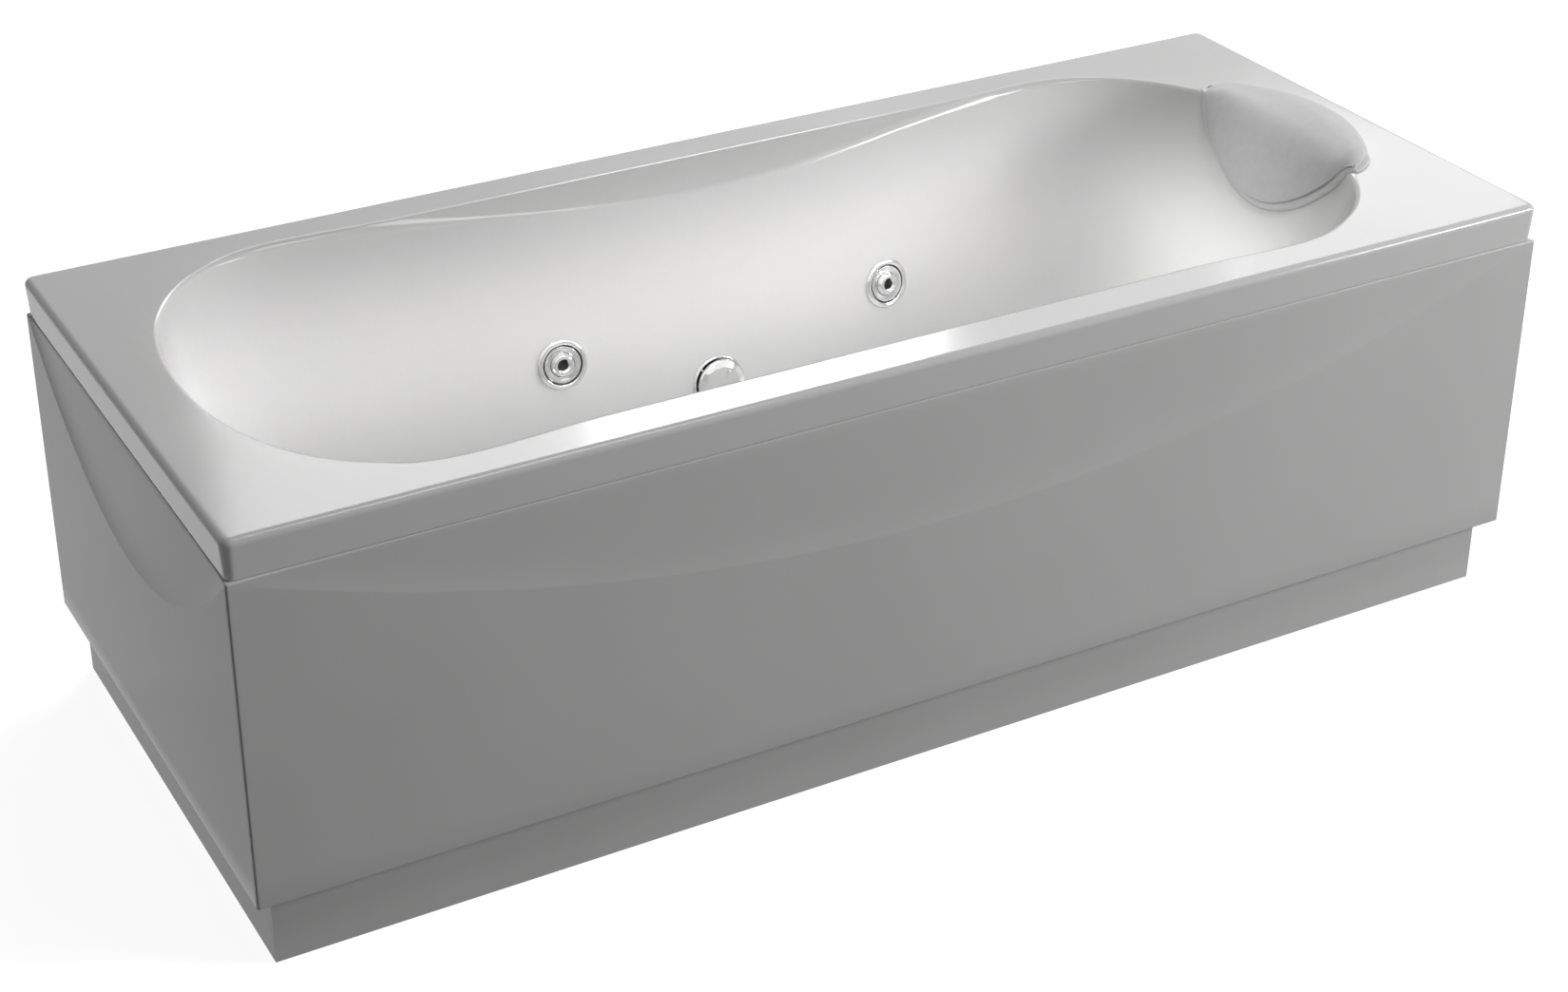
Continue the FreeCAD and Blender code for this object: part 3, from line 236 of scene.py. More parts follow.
def add_noise(tree, scale, stretch=None):
    """Noise in the object's own space; stretch scales it along each axis."""
    coords = tree.nodes.new("ShaderNodeTexCoord")
    noise = tree.nodes.new("ShaderNodeTexNoise")
    noise.inputs["Scale"].default_value = scale
    noise.inputs["Detail"].default_value = 4.0
    link = coords.outputs["Object"]
    if stretch:
        mapping = tree.nodes.new("ShaderNodeMapping")
        mapping.inputs["Scale"].default_value = stretch
        tree.links.new(link, mapping.inputs["Vector"])
        link = mapping.outputs["Vector"]
    tree.links.new(link, noise.inputs["Vector"])
    return noise


def ramp(tree, source, low, high, start=0.35, end=0.65):
    """Colour that runs from low to high while the source goes from start to end."""
    node = tree.nodes.new("ShaderNodeValToRGB")
    for stop, place, colour in zip(node.color_ramp.elements, (start, end), (low, high)):
        stop.position = place
        stop.color = (*colour, 1)
    tree.links.new(source, node.inputs["Fac"])
    return node.outputs["Color"]


def ranged(tree, source, low, high):
    """Maps the middle of a noise's range to low and high."""
    node = tree.nodes.new("ShaderNodeMapRange")
    for name, value in (("From Min", 0.3), ("From Max", 0.7), ("To Min", low), ("To Max", high)):
        node.inputs[name].default_value = value
    tree.links.new(source, node.inputs["Value"])
    return node.outputs["Result"]


def add_bump(tree, shader, source, strength, distance):
    bump = tree.nodes.new("ShaderNodeBump")
    bump.inputs["Strength"].default_value = strength
    bump.inputs["Distance"].default_value = distance
    tree.links.new(source, bump.inputs["Height"])
    tree.links.new(bump.outputs["Normal"], shader.inputs["Normal"])


def surface(name, low, high, rough, metallic=0.0, ior=1.5, scale=30.0, bump=0.0, depth=0.0005,
            bump_scale=None, stretch=None, specular=0.5):
    """Material whose colour runs between two tones and whose roughness varies with it."""
    material, tree, shader = new_material(name)
    noise = add_noise(tree, scale, stretch)
    tree.links.new(ramp(tree, noise.outputs["Fac"], low, high), shader.inputs["Base Color"])
    tree.links.new(ranged(tree, noise.outputs["Fac"], *rough), shader.inputs["Roughness"])
    shader.inputs["Metallic"].default_value = metallic
    shader.inputs["IOR"].default_value = ior
    shader.inputs["Specular IOR Level"].default_value = specular
    if bump:
        relief = add_noise(tree, bump_scale or scale, stretch)
        add_bump(tree, shader, relief.outputs["Fac"], bump, depth)
    return material


ACRYLIC = surface("white acrylic", (0.80, 0.80, 0.795), (0.82, 0.82, 0.815), (0.11, 0.16),
                  ior=1.49, scale=3.0, bump=0.04, depth=0.004, bump_scale=6.0)
# Apron and plinth sheet: the same white acrylic, set a little greyer than the tub and with a low specular
# level, which paints shade into the aprons.
SHADED_PANEL = surface("white acrylic sheet with painted shade", (0.75, 0.75, 0.745), (0.78, 0.78, 0.775), (0.05, 0.09),
                ior=1.49, scale=3.0, bump=0.05, depth=0.004, bump_scale=5.0, specular=0.1)
CHROME = surface("polished chrome", (0.84, 0.84, 0.84), (0.89, 0.89, 0.89), (0.05, 0.09),
                 metallic=1.0, scale=40.0)
# Near-black painted shade: it fills the nozzles' bores and the rings between jet ring and trim, where there
# is only shade and dark reflection.
PAINTED_SHADE = surface("black painted shade", (0.01, 0.01, 0.01), (0.02, 0.02, 0.02), (0.4, 0.5),
                    scale=60.0)
PAD_SKIN = surface("grey moulded skin", (0.70, 0.70, 0.70), (0.74, 0.74, 0.74), (0.38, 0.48),
                   scale=70.0, bump=0.25, depth=0.0004, bump_scale=900.0)
PAD_BACK = surface("light grey moulding", (0.74, 0.74, 0.74), (0.78, 0.78, 0.78), (0.30, 0.38),
                   scale=70.0, bump=0.1, depth=0.0003, bump_scale=500.0)
ZINC = surface("bright zinc plate", (0.50, 0.51, 0.53), (0.68, 0.69, 0.70), (0.28, 0.45),
               metallic=1.0, scale=90.0, bump=0.1, depth=0.0002)
FRAME_PAINT = surface("grey powder coat", (0.42, 0.43, 0.44), (0.48, 0.49, 0.50), (0.35, 0.5),
                      scale=50.0, bump=0.3, depth=0.0002, bump_scale=1500.0)
PIPE = surface("white pipe plastic", (0.66, 0.67, 0.67), (0.72, 0.73, 0.73), (0.28, 0.4),
               scale=30.0, bump=0.1, depth=0.0002, bump_scale=300.0)
HOSE = surface("pale hose", (0.56, 0.58, 0.60), (0.64, 0.66, 0.68), (0.15, 0.25), scale=30.0)
RUBBER = surface("black rubber", (0.015, 0.015, 0.015), (0.035, 0.035, 0.035), (0.6, 0.8),
                 scale=80.0, bump=0.2, depth=0.0003, bump_scale=700.0)
BLACK = surface("black moulding", (0.02, 0.02, 0.022), (0.04, 0.04, 0.043), (0.35, 0.5),
                scale=60.0, bump=0.2, depth=0.0002, bump_scale=800.0)
MOTOR = surface("dark grey enamel", (0.05, 0.06, 0.075), (0.07, 0.08, 0.095), (0.35, 0.5),
                scale=40.0, bump=0.3, depth=0.0003, bump_scale=600.0)
STEEL = surface("machined steel", (0.45, 0.45, 0.46), (0.58, 0.58, 0.59), (0.25, 0.4),
                metallic=1.0, scale=60.0, stretch=(1, 12, 1))


def chipboard():
    material, tree, shader = new_material("chipboard")
    flakes = tree.nodes.new("ShaderNodeTexVoronoi")
    flakes.inputs["Scale"].default_value = 220.0
    coords = tree.nodes.new("ShaderNodeTexCoord")
    tree.links.new(coords.outputs["Object"], flakes.inputs["Vector"])
    tone = ramp(tree, flakes.outputs["Color"], (0.30, 0.19, 0.10), (0.55, 0.40, 0.24), 0.1, 0.9)
    tree.links.new(tone, shader.inputs["Base Color"])
    shader.inputs["Roughness"].default_value = 0.8
    add_bump(tree, shader, flakes.outputs["Distance"], 0.4, 0.0008)
    return material


BOARD = chipboard()


# ------------------------------------------------------------------ the basin's form
def waist_share(x):
    """1 at the middle of the waist, 0 where the lobes begin."""
    return np.clip(1 - ((x - WAIST_X) / WAIST_SPAN) ** 2, 0, None) ** 2


def side_half(x, depth):
    """Half width of the basin's long sides, before the ends round off."""
    lobe = LOBE_HALF - LOBE_DRAFT * depth
    waist = WAIST_HALF - WAIST_DRAFT * depth
    return lobe - (lobe - waist) * waist_share(x)


def head_round(depth):
    """Where the head end starts to round off, and where it ends."""
    return HEAD_TURN - HEAD_TURN_SLOPE * depth, HEAD_X - HEAD_SLOPE * depth


def foot_round(depth):
    """The same at the foot end."""
    return FOOT_TURN + FOOT_TURN_SLOPE * depth, FOOT_X + FOOT_SLOPE * depth


def wall_level(x, y, z):
    """0 on the basin's wall, rising to 1 at its middle, negative outside."""
    depth = RIM_Z - z
    head_turn, head_end = head_round(depth)
    foot_turn, foot_end = foot_round(depth)
    share = np.maximum((x - head_turn) / (head_end - head_turn), (foot_turn - x) / (foot_turn - foot_end))
    across = np.abs(y) / side_half(x, depth)
    return 1 - (np.maximum(share, 0) ** END_POWER + across ** END_POWER) ** (1 / END_POWER)


def wall_distance(x, y, z):
    """Distance from the basin's wall near it, positive on the inside."""
    here, small = wall_level(x, y, z), 0.5
    slopes = [(wall_level(x + small, y, z) - here) / small, (wall_level(x, y + small, z) - here) / small,
              (wall_level(x, y, z + small) - here) / small]
    return here / np.sqrt(sum(s ** 2 for s in slopes) + 1e-12)


def round_union(a, b, radius):
    """The larger of two distances, with its edge rounded."""
    near = (a > -radius) & (b > -radius)
    blended = np.sqrt(np.maximum(a + radius, 0) ** 2 + np.maximum(b + radius, 0) ** 2) - radius
    return np.where(near, blended, np.maximum(a, b))


def smooth_step(value):
    """Eased rise from 0 to 1 while the value does the same."""
    t = np.clip(value, 0, 1)
    return t * t * (3 - 2 * t)


def emptiness(x, y, z):
    """Positive above the tub's upper surface, negative in its material."""
    out_of_reach = 400.0
    arm_z = RIM_Z - ARM_SLOPE * (ARM_CREASE - np.abs(y))
    arm = (z - arm_z) / math.sqrt(1 + ARM_SLOPE ** 2)
    beyond = smooth_step((x - ARM_X1) / ARM_FADE) + smooth_step((ARM_X0 - x) / ARM_FADE)
    top = round_union(z - RIM_Z, arm - out_of_reach * beyond, CREASE_R)
    basin = -round_union(-wall_distance(x, y, z), FLOOR_Z - z, FLOOR_R)
    on_arm = smooth_step((RIM_Z - arm_z) / ARM_BLEND) * (np.abs(y) < ARM_CREASE)
    return round_union(top, basin, MOUTH_R - (MOUTH_R - ARM_EDGE_R) * on_arm)


def surface_z(x, y):
    """Height of the tub's upper surface, by halving the span that holds it."""
    low, high = np.full_like(x, FLOOR_Z - 1), np.full_like(x, RIM_Z + 1)
    for _ in range(34):
        middle = (low + high) / 2
        empty = emptiness(x, y, middle) > 0
        high = np.where(empty, middle, high)
        low = np.where(empty, low, middle)
    return (low + high) / 2


def run_along(steps):
    """Distances from the start of a line, or of each row of lines, given the length of its steps."""
    return np.concatenate([np.zeros_like(steps[..., :1]), np.cumsum(steps, axis=-1)], -1)


# ------------------------------------------------------------------ places of the fittings
def side_seat(x, z, side):
    """Seat on a long wall; side is +1 at the back and -1 at the front."""
    depth, small = RIM_Z - z, 0.1
    along = (side_half(x + small, depth) - side_half(x - small, depth)) / (2 * small)
    down = (side_half(x, depth + small) - side_half(x, depth - small)) / (2 * small)
    axis = Vector((along, -side, -down)).normalized()
    return Seat(Vector((x, side * side_half(x, depth), z)) - axis * SIDE_SINK, axis)


def end_seat(z):
    """Seat on the foot wall's middle."""
    axis = Vector((1, 0, FOOT_SLOPE)).normalized()
    return Seat(Vector((foot_round(RIM_Z - z)[1], 0, z)) - axis * END_SINK, axis)


JET_SEATS = [side_seat(JET_MID + half * JET_PITCH / 2, JET_Z, side)
             for side in (1, -1) for half in (-1, 1)]
SUCTION_SEAT = side_seat(SUCTION_X, SUCTION_Z, 1)
HOLES = [(seat, 25.0) for seat in JET_SEATS]    # seat and radius of each hole in the shell
HOLES += [(SUCTION_SEAT, 27.6), (side_seat(AIR_KNOB_X, CONTROL_Z, -1), 12.6),
          (side_seat(BUTTON_X, CONTROL_Z, -1), 11.1), (end_seat(OVERFLOW_Z), 21.6),
          (Seat((WASTE_X, 0, FLOOR_Z), (0, 0, 1)), 23.3)]


# ------------------------------------------------------------------ tub shell
def collar_half(count, out):
    """Half loop around the opening at deck level, from the foot tip to the head tip."""
    angles = np.radians(np.linspace(0, 90, 200))
    along, across = np.cos(angles) ** (2 / END_POWER), np.sin(angles) ** (2 / END_POWER)
    half = LOBE_HALF + out
    foot = np.stack([FOOT_TURN + (FOOT_X - out - FOOT_TURN) * along, half * across], 1)
    head = np.stack([HEAD_TURN + (HEAD_X + out - HEAD_TURN) * along, half * across], 1)[::-1]
    line = np.concatenate([foot, head])
    run = run_along(np.linalg.norm(np.diff(line, axis=0), axis=1))
    at = np.linspace(0, run[-1], count)
    return np.stack([np.interp(at, run, line[:, 0]), np.interp(at, run, line[:, 1])], 1)


def basin_grid(columns=170, rows=150, samples=900):
    """Points of the tub's upper surface: rows run from the deck to the floor's middle."""
    collar_out, core_share, spine_x1 = 15.0, 0.12, 300.0
    row_length, rows_per_radian = 8.0, 10.0     # rows are spaced by length, and closer in the bends
    collar = collar_half(columns + 1, collar_out)
    spine = np.stack([np.clip(collar[:, 0], WASTE_X, spine_x1), np.zeros(len(collar))], 1)
    core = spine + core_share * (collar - spine)

    def along(share):
        x = collar[:, :1] + (core - collar)[:, :1] * share
        y = collar[:, 1:] + (core - collar)[:, 1:] * share
        return x, y

    share = np.tile(np.linspace(0, 1, samples), (len(collar), 1))
    x, y = along(share)
    step = np.diff(np.stack([x, y, surface_z(x, y)], 2), axis=1)
    length = np.linalg.norm(step, axis=2)
    way = step / length[..., None]
    turn = np.arccos(np.clip(np.sum(way[:, 1:] * way[:, :-1], axis=2), -1, 1))
    weight = length / row_length
    weight[:, 1:] += rows_per_radian * turn
    weight[:, :-1] += rows_per_radian * turn
    run = run_along(weight)
    run /= run[:, -1:]
    picked = np.stack([np.interp(np.linspace(0, 1, rows), run[i], share[i]) for i in range(len(collar))])
    x, y = along(picked)
    z = surface_z(x, y)
    z[:, 0], z[:, -1] = RIM_Z, FLOOR_Z
    half = np.stack([x, y, z], 2)
    mirrored = half[-2:0:-1] * np.array([1, -1, 1])
    return np.concatenate([half, mirrored]).transpose(1, 0, 2)


def grid_normals(grid):
    """Normals of a grid that is closed around its columns."""
    around = np.roll(grid, -1, axis=1) - np.roll(grid, 1, axis=1)
    down = np.gradient(grid, axis=0)
    normal = np.cross(around, down)
    normal /= np.linalg.norm(normal, axis=2, keepdims=True)
    return normal * np.sign(normal[-1:, :1, 2:])


def rounded_rectangle(inset, steps=12):
    """Loop around the footprint; its points sit close together at the corners."""
    loop, lead = [], (3.0, 12.0, 45.0)
    half_x, half_y, radius = LENGTH / 2 - RIM_CORNER, WIDTH / 2 - RIM_CORNER, RIM_CORNER - inset
    corners = [(half_x, half_y, 0), (-half_x, half_y, 90), (-half_x, -half_y, 180), (half_x, -half_y, 270)]
    for cx, cy, start in corners:
        first, last = math.radians(start), math.radians(start + 90)
        for gap in reversed(lead):
            loop.append((cx + radius * math.cos(first) + gap * math.sin(first),
                         cy + radius * math.sin(first) - gap * math.cos(first)))
        for k in range(steps + 1):
            angle = first + (last - first) * k / steps
            loop.append((cx + radius * math.cos(angle), cy + radius * math.sin(angle)))
        for gap in lead:
            loop.append((cx + radius * math.cos(last) - gap * math.sin(last),
                         cy + radius * math.sin(last) + gap * math.cos(last)))
    return loop


def lip_profile():
    """(inset, z) from the deck over the outer edge, round the lip's foot, up to the deck's underside."""
    top, foot_top = RIM_Z - RIM_FILLET, LIP_Z + 2
    draft = LIP_DRAFT / (top - LIP_Z)
    profile = [(LIP_BACK + DECK_FILLET, RIM_Z)]
    for angle in np.radians(np.linspace(90, 0, 13)):
        profile.append((RIM_FILLET * (1 - math.cos(angle)), top + RIM_FILLET * math.sin(angle)))
    profile += [(draft * (top - z), z) for z in (530.0, 526.0, 512.0, 499.0, 496.0)]
    foot = [(draft * (top - foot_top), foot_top), (LIP_DRAFT, LIP_Z),
            (LIP_BACK, LIP_Z), (LIP_BACK, LIP_Z + 4)]
    profile += rounded(foot, 1.8, 5)[1:]
    profile += [(LIP_BACK, 520.0), (LIP_BACK, 531.0)]
    for angle in np.radians((15, 30, 45, 60, 75, 90)):
        profile.append((LIP_BACK + DECK_FILLET * (1 - math.cos(angle)),
                        RIM_Z - LIP_T - DECK_FILLET * (1 - math.sin(angle))))
    return profile


def hole_cutters():
    back, front = -22.0, 14.0
    bm = bmesh.new()
    for seat, radius in HOLES:
        seat.add(bm, [(0, back), (radius, back), (radius, front), (0, front)], 64)
    return add_object("cutters", finish_bmesh(bm, "cutters"))


def shell_blank():
    """The tub without its holes: upper and lower surface, joined through the lip."""
    top = basin_grid()
    rows, columns, _ = top.shape
    thickness = LIP_T + (SHELL_T - LIP_T) * smooth_step((RIM_Z - top[..., 2:]) / WALL_BLEND)
    under = top - grid_normals(top) * thickness
    under[0, :, :2] = top[0, :, :2]
    under[0, :, 2] = RIM_Z - LIP_T
    rim = [[(x, y, z) for x, y in rounded_rectangle(inset)] for inset, z in lip_profile()]
    around = len(rim[0])

    bm = bmesh.new()
    upper = add_faces(bm, top.reshape(-1, 3), grid_faces(rows, columns))
    lower = add_faces(bm, under.reshape(-1, 3), grid_faces(rows, columns))
    edge = add_faces(bm, [p for loop in rim for p in loop], grid_faces(len(rim), around))
    for verts in (upper, lower):
        bm.faces.new(verts[-columns:])

    def loop_edges(loop):
        return [bm.edges.get((a, b)) for a, b in zip(loop, loop[1:] + loop[:1])]

    for inner, outer in ((upper[:columns], edge[:around]), (lower[:columns], edge[-around:])):
        bmesh.ops.triangle_fill(bm, use_beauty=True, use_dissolve=False, normal=(0, 0, 1),
                                edges=loop_edges(inner) + loop_edges(outer))
    return add_object("tub blank", finish_bmesh(bm, "tub blank"))


def build_tub():
    shell, cutter = shell_blank(), hole_cutters()
    cut = shell.modifiers.new("holes", "BOOLEAN")
    cut.operation, cut.solver, cut.object = "DIFFERENCE", "EXACT", cutter
    graph = bpy.context.evaluated_depsgraph_get()
    mesh = bpy.data.meshes.new_from_object(shell.evaluated_get(graph))
    for helper in (shell, cutter):
        bpy.data.objects.remove(helper)
    make_object("tub_skin", mesh, ACRYLIC, "tub", ["tub_shell"])


# ------------------------------------------------------------------ aprons
def arc_height(x, half):
    """Height of the pressed arc at x, on an apron of the given half length."""
    return ARC_LOW + ARC_RISE * (x / half) ** 2


def field_depth(above):
    """How far the dished field above the arc lies behind the panel's face."""
    soft, fade = 2.0, 40.0                      # softness of the crease, and how far it reaches
    lifted = 0.5 * (above + np.sqrt(above ** 2 + soft ** 2)) - soft * 0.5 * np.exp(-np.abs(above) / fade)
    return FIELD_DEEP * (1 - np.exp(-lifted.clip(0) / FIELD_RUN))


def plate_section(x, back, half):
    """Closed (y, z) section of an apron sheet at x; back is how far its face lies behind y = 0."""
    middle = min(arc_height(x, half), PANEL_Z1 - 9)
    low = np.linspace(PANEL_Z0 + EDGE_R, middle - 6, 12)
    crease = middle + np.array([-4.0, -2.5, -1.2, 0.0, 1.2, 2.5, 4.0, 6.0])
    high = np.linspace(middle + 6, PANEL_Z1 - TOP_R, 16)[1:]
    face = [(float(field_depth(z - arc_height(x, half))) + back, z)
            for z in np.concatenate([low, crease, high])]
    bottom = [(EDGE_R * (1 - math.sin(a)) + back, PANEL_Z0 + EDGE_R * (1 - math.cos(a)))
              for a in np.radians((0, 22.5, 45, 67.5))]
    top = [(face[-1][0] + TOP_R * (1 - math.cos(a)), PANEL_Z1 - TOP_R * (1 - math.sin(a)))
           for a in np.radians((22.5, 45, 67.5, 90))]
    return bottom + face + top + [(PANEL_T, PANEL_Z1), (PANEL_T, PANEL_Z0)]


def plate(half, x0, x1, corner=0.0):
    """Apron sheet facing -Y, its face at y = 0; corner rounds its edge at x0."""
    columns = []
    if corner:
        columns = [(x0 + corner * (1 - math.cos(a)), corner * (1 - math.sin(a)))
                   for a in np.radians(np.linspace(0, 90, 9))[:-1]]
    start = x0 + corner
    span = np.concatenate([[start, start + 2], np.linspace(start + 8, x1 - 8, 110), [x1]])
    columns += [(x, 0.0) for x in span]
    sections = [plate_section(x, back, half) for x, back in columns]
    points = [(x, y, z) for (x, _), loop in zip(columns, sections) for y, z in loop]
    return points, tube_faces(len(sections), len(sections[0]))


def bar(x0, x1, y0, y1, z0, z1, soft=0.8):
    """Beveled straight bar as points and faces."""
    points, ends = [], ((x0, soft), (x0 + soft, 0), (x1 - soft, 0), (x1, soft))
    for x, shrink in ends:
        corners = [(y0 + shrink, z0 + shrink), (y1 - shrink, z0 + shrink),
                   (y1 - shrink, z1 - shrink), (y0 + shrink, z1 - shrink)]
        points += [(x, y, z) for y, z in rounded(corners, soft, 3, True)]
    return points, tube_faces(len(ends), len(points) // len(ends))


def build_apron(name, node, forms, place):
    """One apron from its sheet and turned-in edges; place turns its own (x, y, z) into the part's."""
    bm = bmesh.new()
    for points, faces in forms:
        add_faces(bm, [place(*point) for point in points], faces)
    make_object(name, finish_bmesh(bm, name), SHADED_PANEL, "tub", [node], 50)


def build_aprons():
    top, low = (PANEL_Z1 - RETURN_T, PANEL_Z1 - SLIP), (PANEL_Z0 + SLIP, PANEL_Z0 + RETURN_T)
    half = LENGTH / 2
    forms = [plate(half, -half, half, CORNER_R),
             bar(-half + INSIDE, half, PANEL_T, RETURN_Y, *top),
             bar(-half + INSIDE, half, PANEL_T, FLANGE_Y, *low),
             bar(half - RETURN_T, half - SLIP, PANEL_T, RETURN_Y, low[1], top[0])]
    build_apron("front_apron_skin", "front_apron", forms, lambda x, y, z: (x, y - WIDTH / 2, z))
    half = WIDTH / 2
    forms = [plate(half, -half, half - PANEL_T - PANEL_GAP),
             bar(-half, half - RETURN_Y - PANEL_GAP, PANEL_T, RETURN_Y, *top),
             bar(-half, half - FLANGE_Y - PANEL_GAP, PANEL_T, FLANGE_Y, *low)]
    build_apron("end_apron_skin", "end_apron", forms, lambda x, y, z: (y - LENGTH / 2, -x, z))


# ------------------------------------------------------------------ jets and suction fitting
def build_jets():
    trim = section((JET_R, 0, 0), (JET_R, 3.2, 2.5), (30.5, 6.0, 3.0), (26.6, 4.6, 0.8), (25.6, 1.7, 0),
                   (28.2, 1.7, 0), (28.2, 0, 0))
    ring = section((14.7, -7.0, 0), (20.6, -7.0, 0), (20.6, 1.9, 0), (24.2, 1.9, 0), (24.2, 3.4, 0.7),
                   (21.5, 3.7, 1.5), (17.0, 2.2, 0.8), (16.4, 2.9, 0.4), (BALL_R + 0.3, 0, 0))
    nozzle = section((6.5, -11, 0), (11.6, -11, 0.5), (BALL_R, -3, 9), (BALL_R, 3.5, 9), (12.6, 9.2, 2.0),
                     (9.0, 9.2, 1.2), (6.5, 6.4, 0.6), steps=8)
    # A dark plug inside the nozzle's hole: painted shade that stands for the depth of the bore.
    bore_shade = [(0, -26), (6.4, -26), (6.4, -4), (0, -4)]
    # A black ring set into the gap between the jet ring and the trim: painted shade and painted dark
    # reflection on the chrome.
    shade_ring = [(22.4, 0.4), (26.4, 0.4), (26.4, 2.3), (22.4, 1.5)]
    trims, shade_rings = bmesh.new(), bmesh.new()
    for number, seat in enumerate(JET_SEATS, 1):
        body = f"jet_{number}"
        seat.add(trims, trim)
        seat.add(shade_rings, shade_ring)
        turned_piece(f"{body}_ring_skin", seat, ring, CHROME, f"{body}_ring", [f"{body}_ring"])
        turned_piece(f"{body}_nozzle_skin", seat, nozzle, CHROME, f"{body}_nozzle", [f"{body}_nozzle"])
        turned_piece(f"{body}_bore", seat, bore_shade, PAINTED_SHADE, f"{body}_nozzle")
    make_object("jet_trim_skins", finish_bmesh(trims, "jet_trim_skins"), CHROME, "tub", ["jet_trims"])
    shade_rings = make_object("jet_shade_rings", finish_bmesh(shade_rings, "jet_shade_rings"), PAINTED_SHADE, "tub")


def build_suction():
    ring = section((SUCTION_R, 0, 0), (SUCTION_R, 1.4, 1.2), (36.4, 4.1, 1.6), (34.6, 4.1, 0.8),
                   (33.6, 2.9, 0.4), (24, 2.9, 0), (24, 2.0, 0), (32.2, 2.0, 0), (32.2, 0, 0))
    cover = section((0, 6.8, 0), (31.2, 6.8, 1.0), (33.6, 7.4, 1.2), (33.0, 11.0, 3.0), (24.0, 15.4, 18.0),
                    (8.0, 17.4, 30.0), (0, 17.4, 0), steps=8)
    post, post_out = [(0, 2.7), (2.4, 2.7), (2.4, 6.9), (0, 6.9)], 28.2
    bm = bmesh.new()
    SUCTION_SEAT.add(bm, ring)
    for angle in np.radians((45, 135, 225, 315)):
        SUCTION_SEAT.add(bm, post, 24, (post_out * math.cos(angle), post_out * math.sin(angle)))
    make_object("suction_ring_skin", finish_bmesh(bm, "suction_ring_skin"), CHROME, "tub", ["suction_ring"])
    turned_piece("suction_cover_skin", SUCTION_SEAT, cover, CHROME, "tub", ["suction_cover"], 128)


# ------------------------------------------------------------------ headrest
def backrest_x(y, depth):
    """Where the backrest's surface is, at one side offset and depth."""
    turn, end = head_round(depth)
    share = np.abs(y) / (LOBE_HALF - LOBE_DRAFT * depth)
    return turn + (end - turn) * (1 - share ** END_POWER) ** (1 / END_POWER)


def surface_normal(x, y, z):
    """Normals of the tub's upper surface, towards the open side."""
    small = 0.4
    normal = np.stack([emptiness(x + small, y, z) - emptiness(x - small, y, z),
                       emptiness(x, y + small, z) - emptiness(x, y - small, z),
                       emptiness(x, y, z + small) - emptiness(x, y, z - small)], -1)
    return normal / np.linalg.norm(normal, axis=-1, keepdims=True)


def softened(values, passes):
    """Evens out rows of vectors along their own length."""
    for _ in range(passes):
        padded = np.concatenate([values[:, :1], values, values[:, -1:]], 1)
        values = (padded[:, :-2] + 2 * padded[:, 1:-1] + padded[:, 2:]) / 4
    return values / np.linalg.norm(values, axis=-1, keepdims=True)


def rest_seat(y, back, drop, count, passes):
    """Points on the acrylic and their normals: from the deck over the rim, down the backrest."""
    samples = 500
    low = backrest_x(y, drop)
    middle, reach = (back + low) / 2, (back - low) / 2
    dense = middle[:, None] + reach[:, None] * np.linspace(1, -1, samples)
    across = np.repeat(y[:, None], samples, 1)
    line = np.stack([dense, across, surface_z(dense, across)], -1)
    run = run_along(np.linalg.norm(np.diff(line, axis=1), axis=2))
    x = np.stack([np.interp(np.linspace(0, r[-1], count), r, d) for r, d in zip(run, dense)])
    across = np.repeat(y[:, None], count, 1)
    z = surface_z(x, across)
    return np.stack([x, across, z], -1), softened(surface_normal(x, across, z), passes)


def rest_outline(y, half, back, drop):
    """Upper end's x, lower end's depth and share of the full width at y, with round tips at half."""
    reach = np.clip(1 - (y / half) ** 2, 0, None)
    tip = np.sqrt(np.clip(1 - ((np.abs(y) - half + REST_TIP_R) / REST_TIP_R).clip(0) ** 2, 0, None))
    far = REST_TIP_X + (back - REST_TIP_X) * reach
    middle = (far + backrest_x(y, 0)) / 2
    return middle + (far - middle) * tip, drop * reach * tip, tip


def rest_loops(half, back, drop, count, passes):
    """Seat points and normals for evenly turned stations, and the share of full width at each."""
    stations, least = 121, 0.02                 # the outermost stations keep this share of their size
    y = (half - 0.01) * np.sin(np.radians(np.linspace(-90, 90, stations)))
    far, deep, tip = rest_outline(y, half, back, drop)
    seat, normal = rest_seat(y, far, deep, count, passes)
    centre = seat.mean(axis=1, keepdims=True)
    return centre + (seat - centre) * (least + (1 - least) * tip[:, None, None]), normal, y, tip[:, None]


def close_loops(under, over):
    """Mesh data of the skin round two stacks of lines, one above the other."""
    loops = np.concatenate([under, over[:, ::-1]], 1)
    return loops.reshape(-1, 3), tube_faces(*loops.shape[:2])


def base_thickness(y):
    """The back plate's thickness, as a column with one row for each station."""
    swell = np.clip(1 - (y / REST_BASE_HALF) ** 2, 0, None) ** 0.8
    return (REST_EDGE_T + (REST_BASE_T - REST_EDGE_T) * swell)[:, None]


def from_middle(count):
    """Distance of the points of a line from its middle, 1 at both ends."""
    return np.abs(np.linspace(-1, 1, count))[None]


def headrest_back():
    """Moulded back plate with a rounded edge, thinner towards its tips."""
    count = 48
    seat, normal, y, tip = rest_loops(REST_BASE_HALF, REST_BACK_X - REST_INSET, REST_DROP, count, 6)
    edge = 0.1 + 0.9 * np.sqrt(1 - from_middle(count) ** 14)
    thick = base_thickness(y) * edge * (0.15 + 0.85 * tip)
    under = seat + normal * REST_GAP
    return close_loops(under, under + normal * thick[..., None])


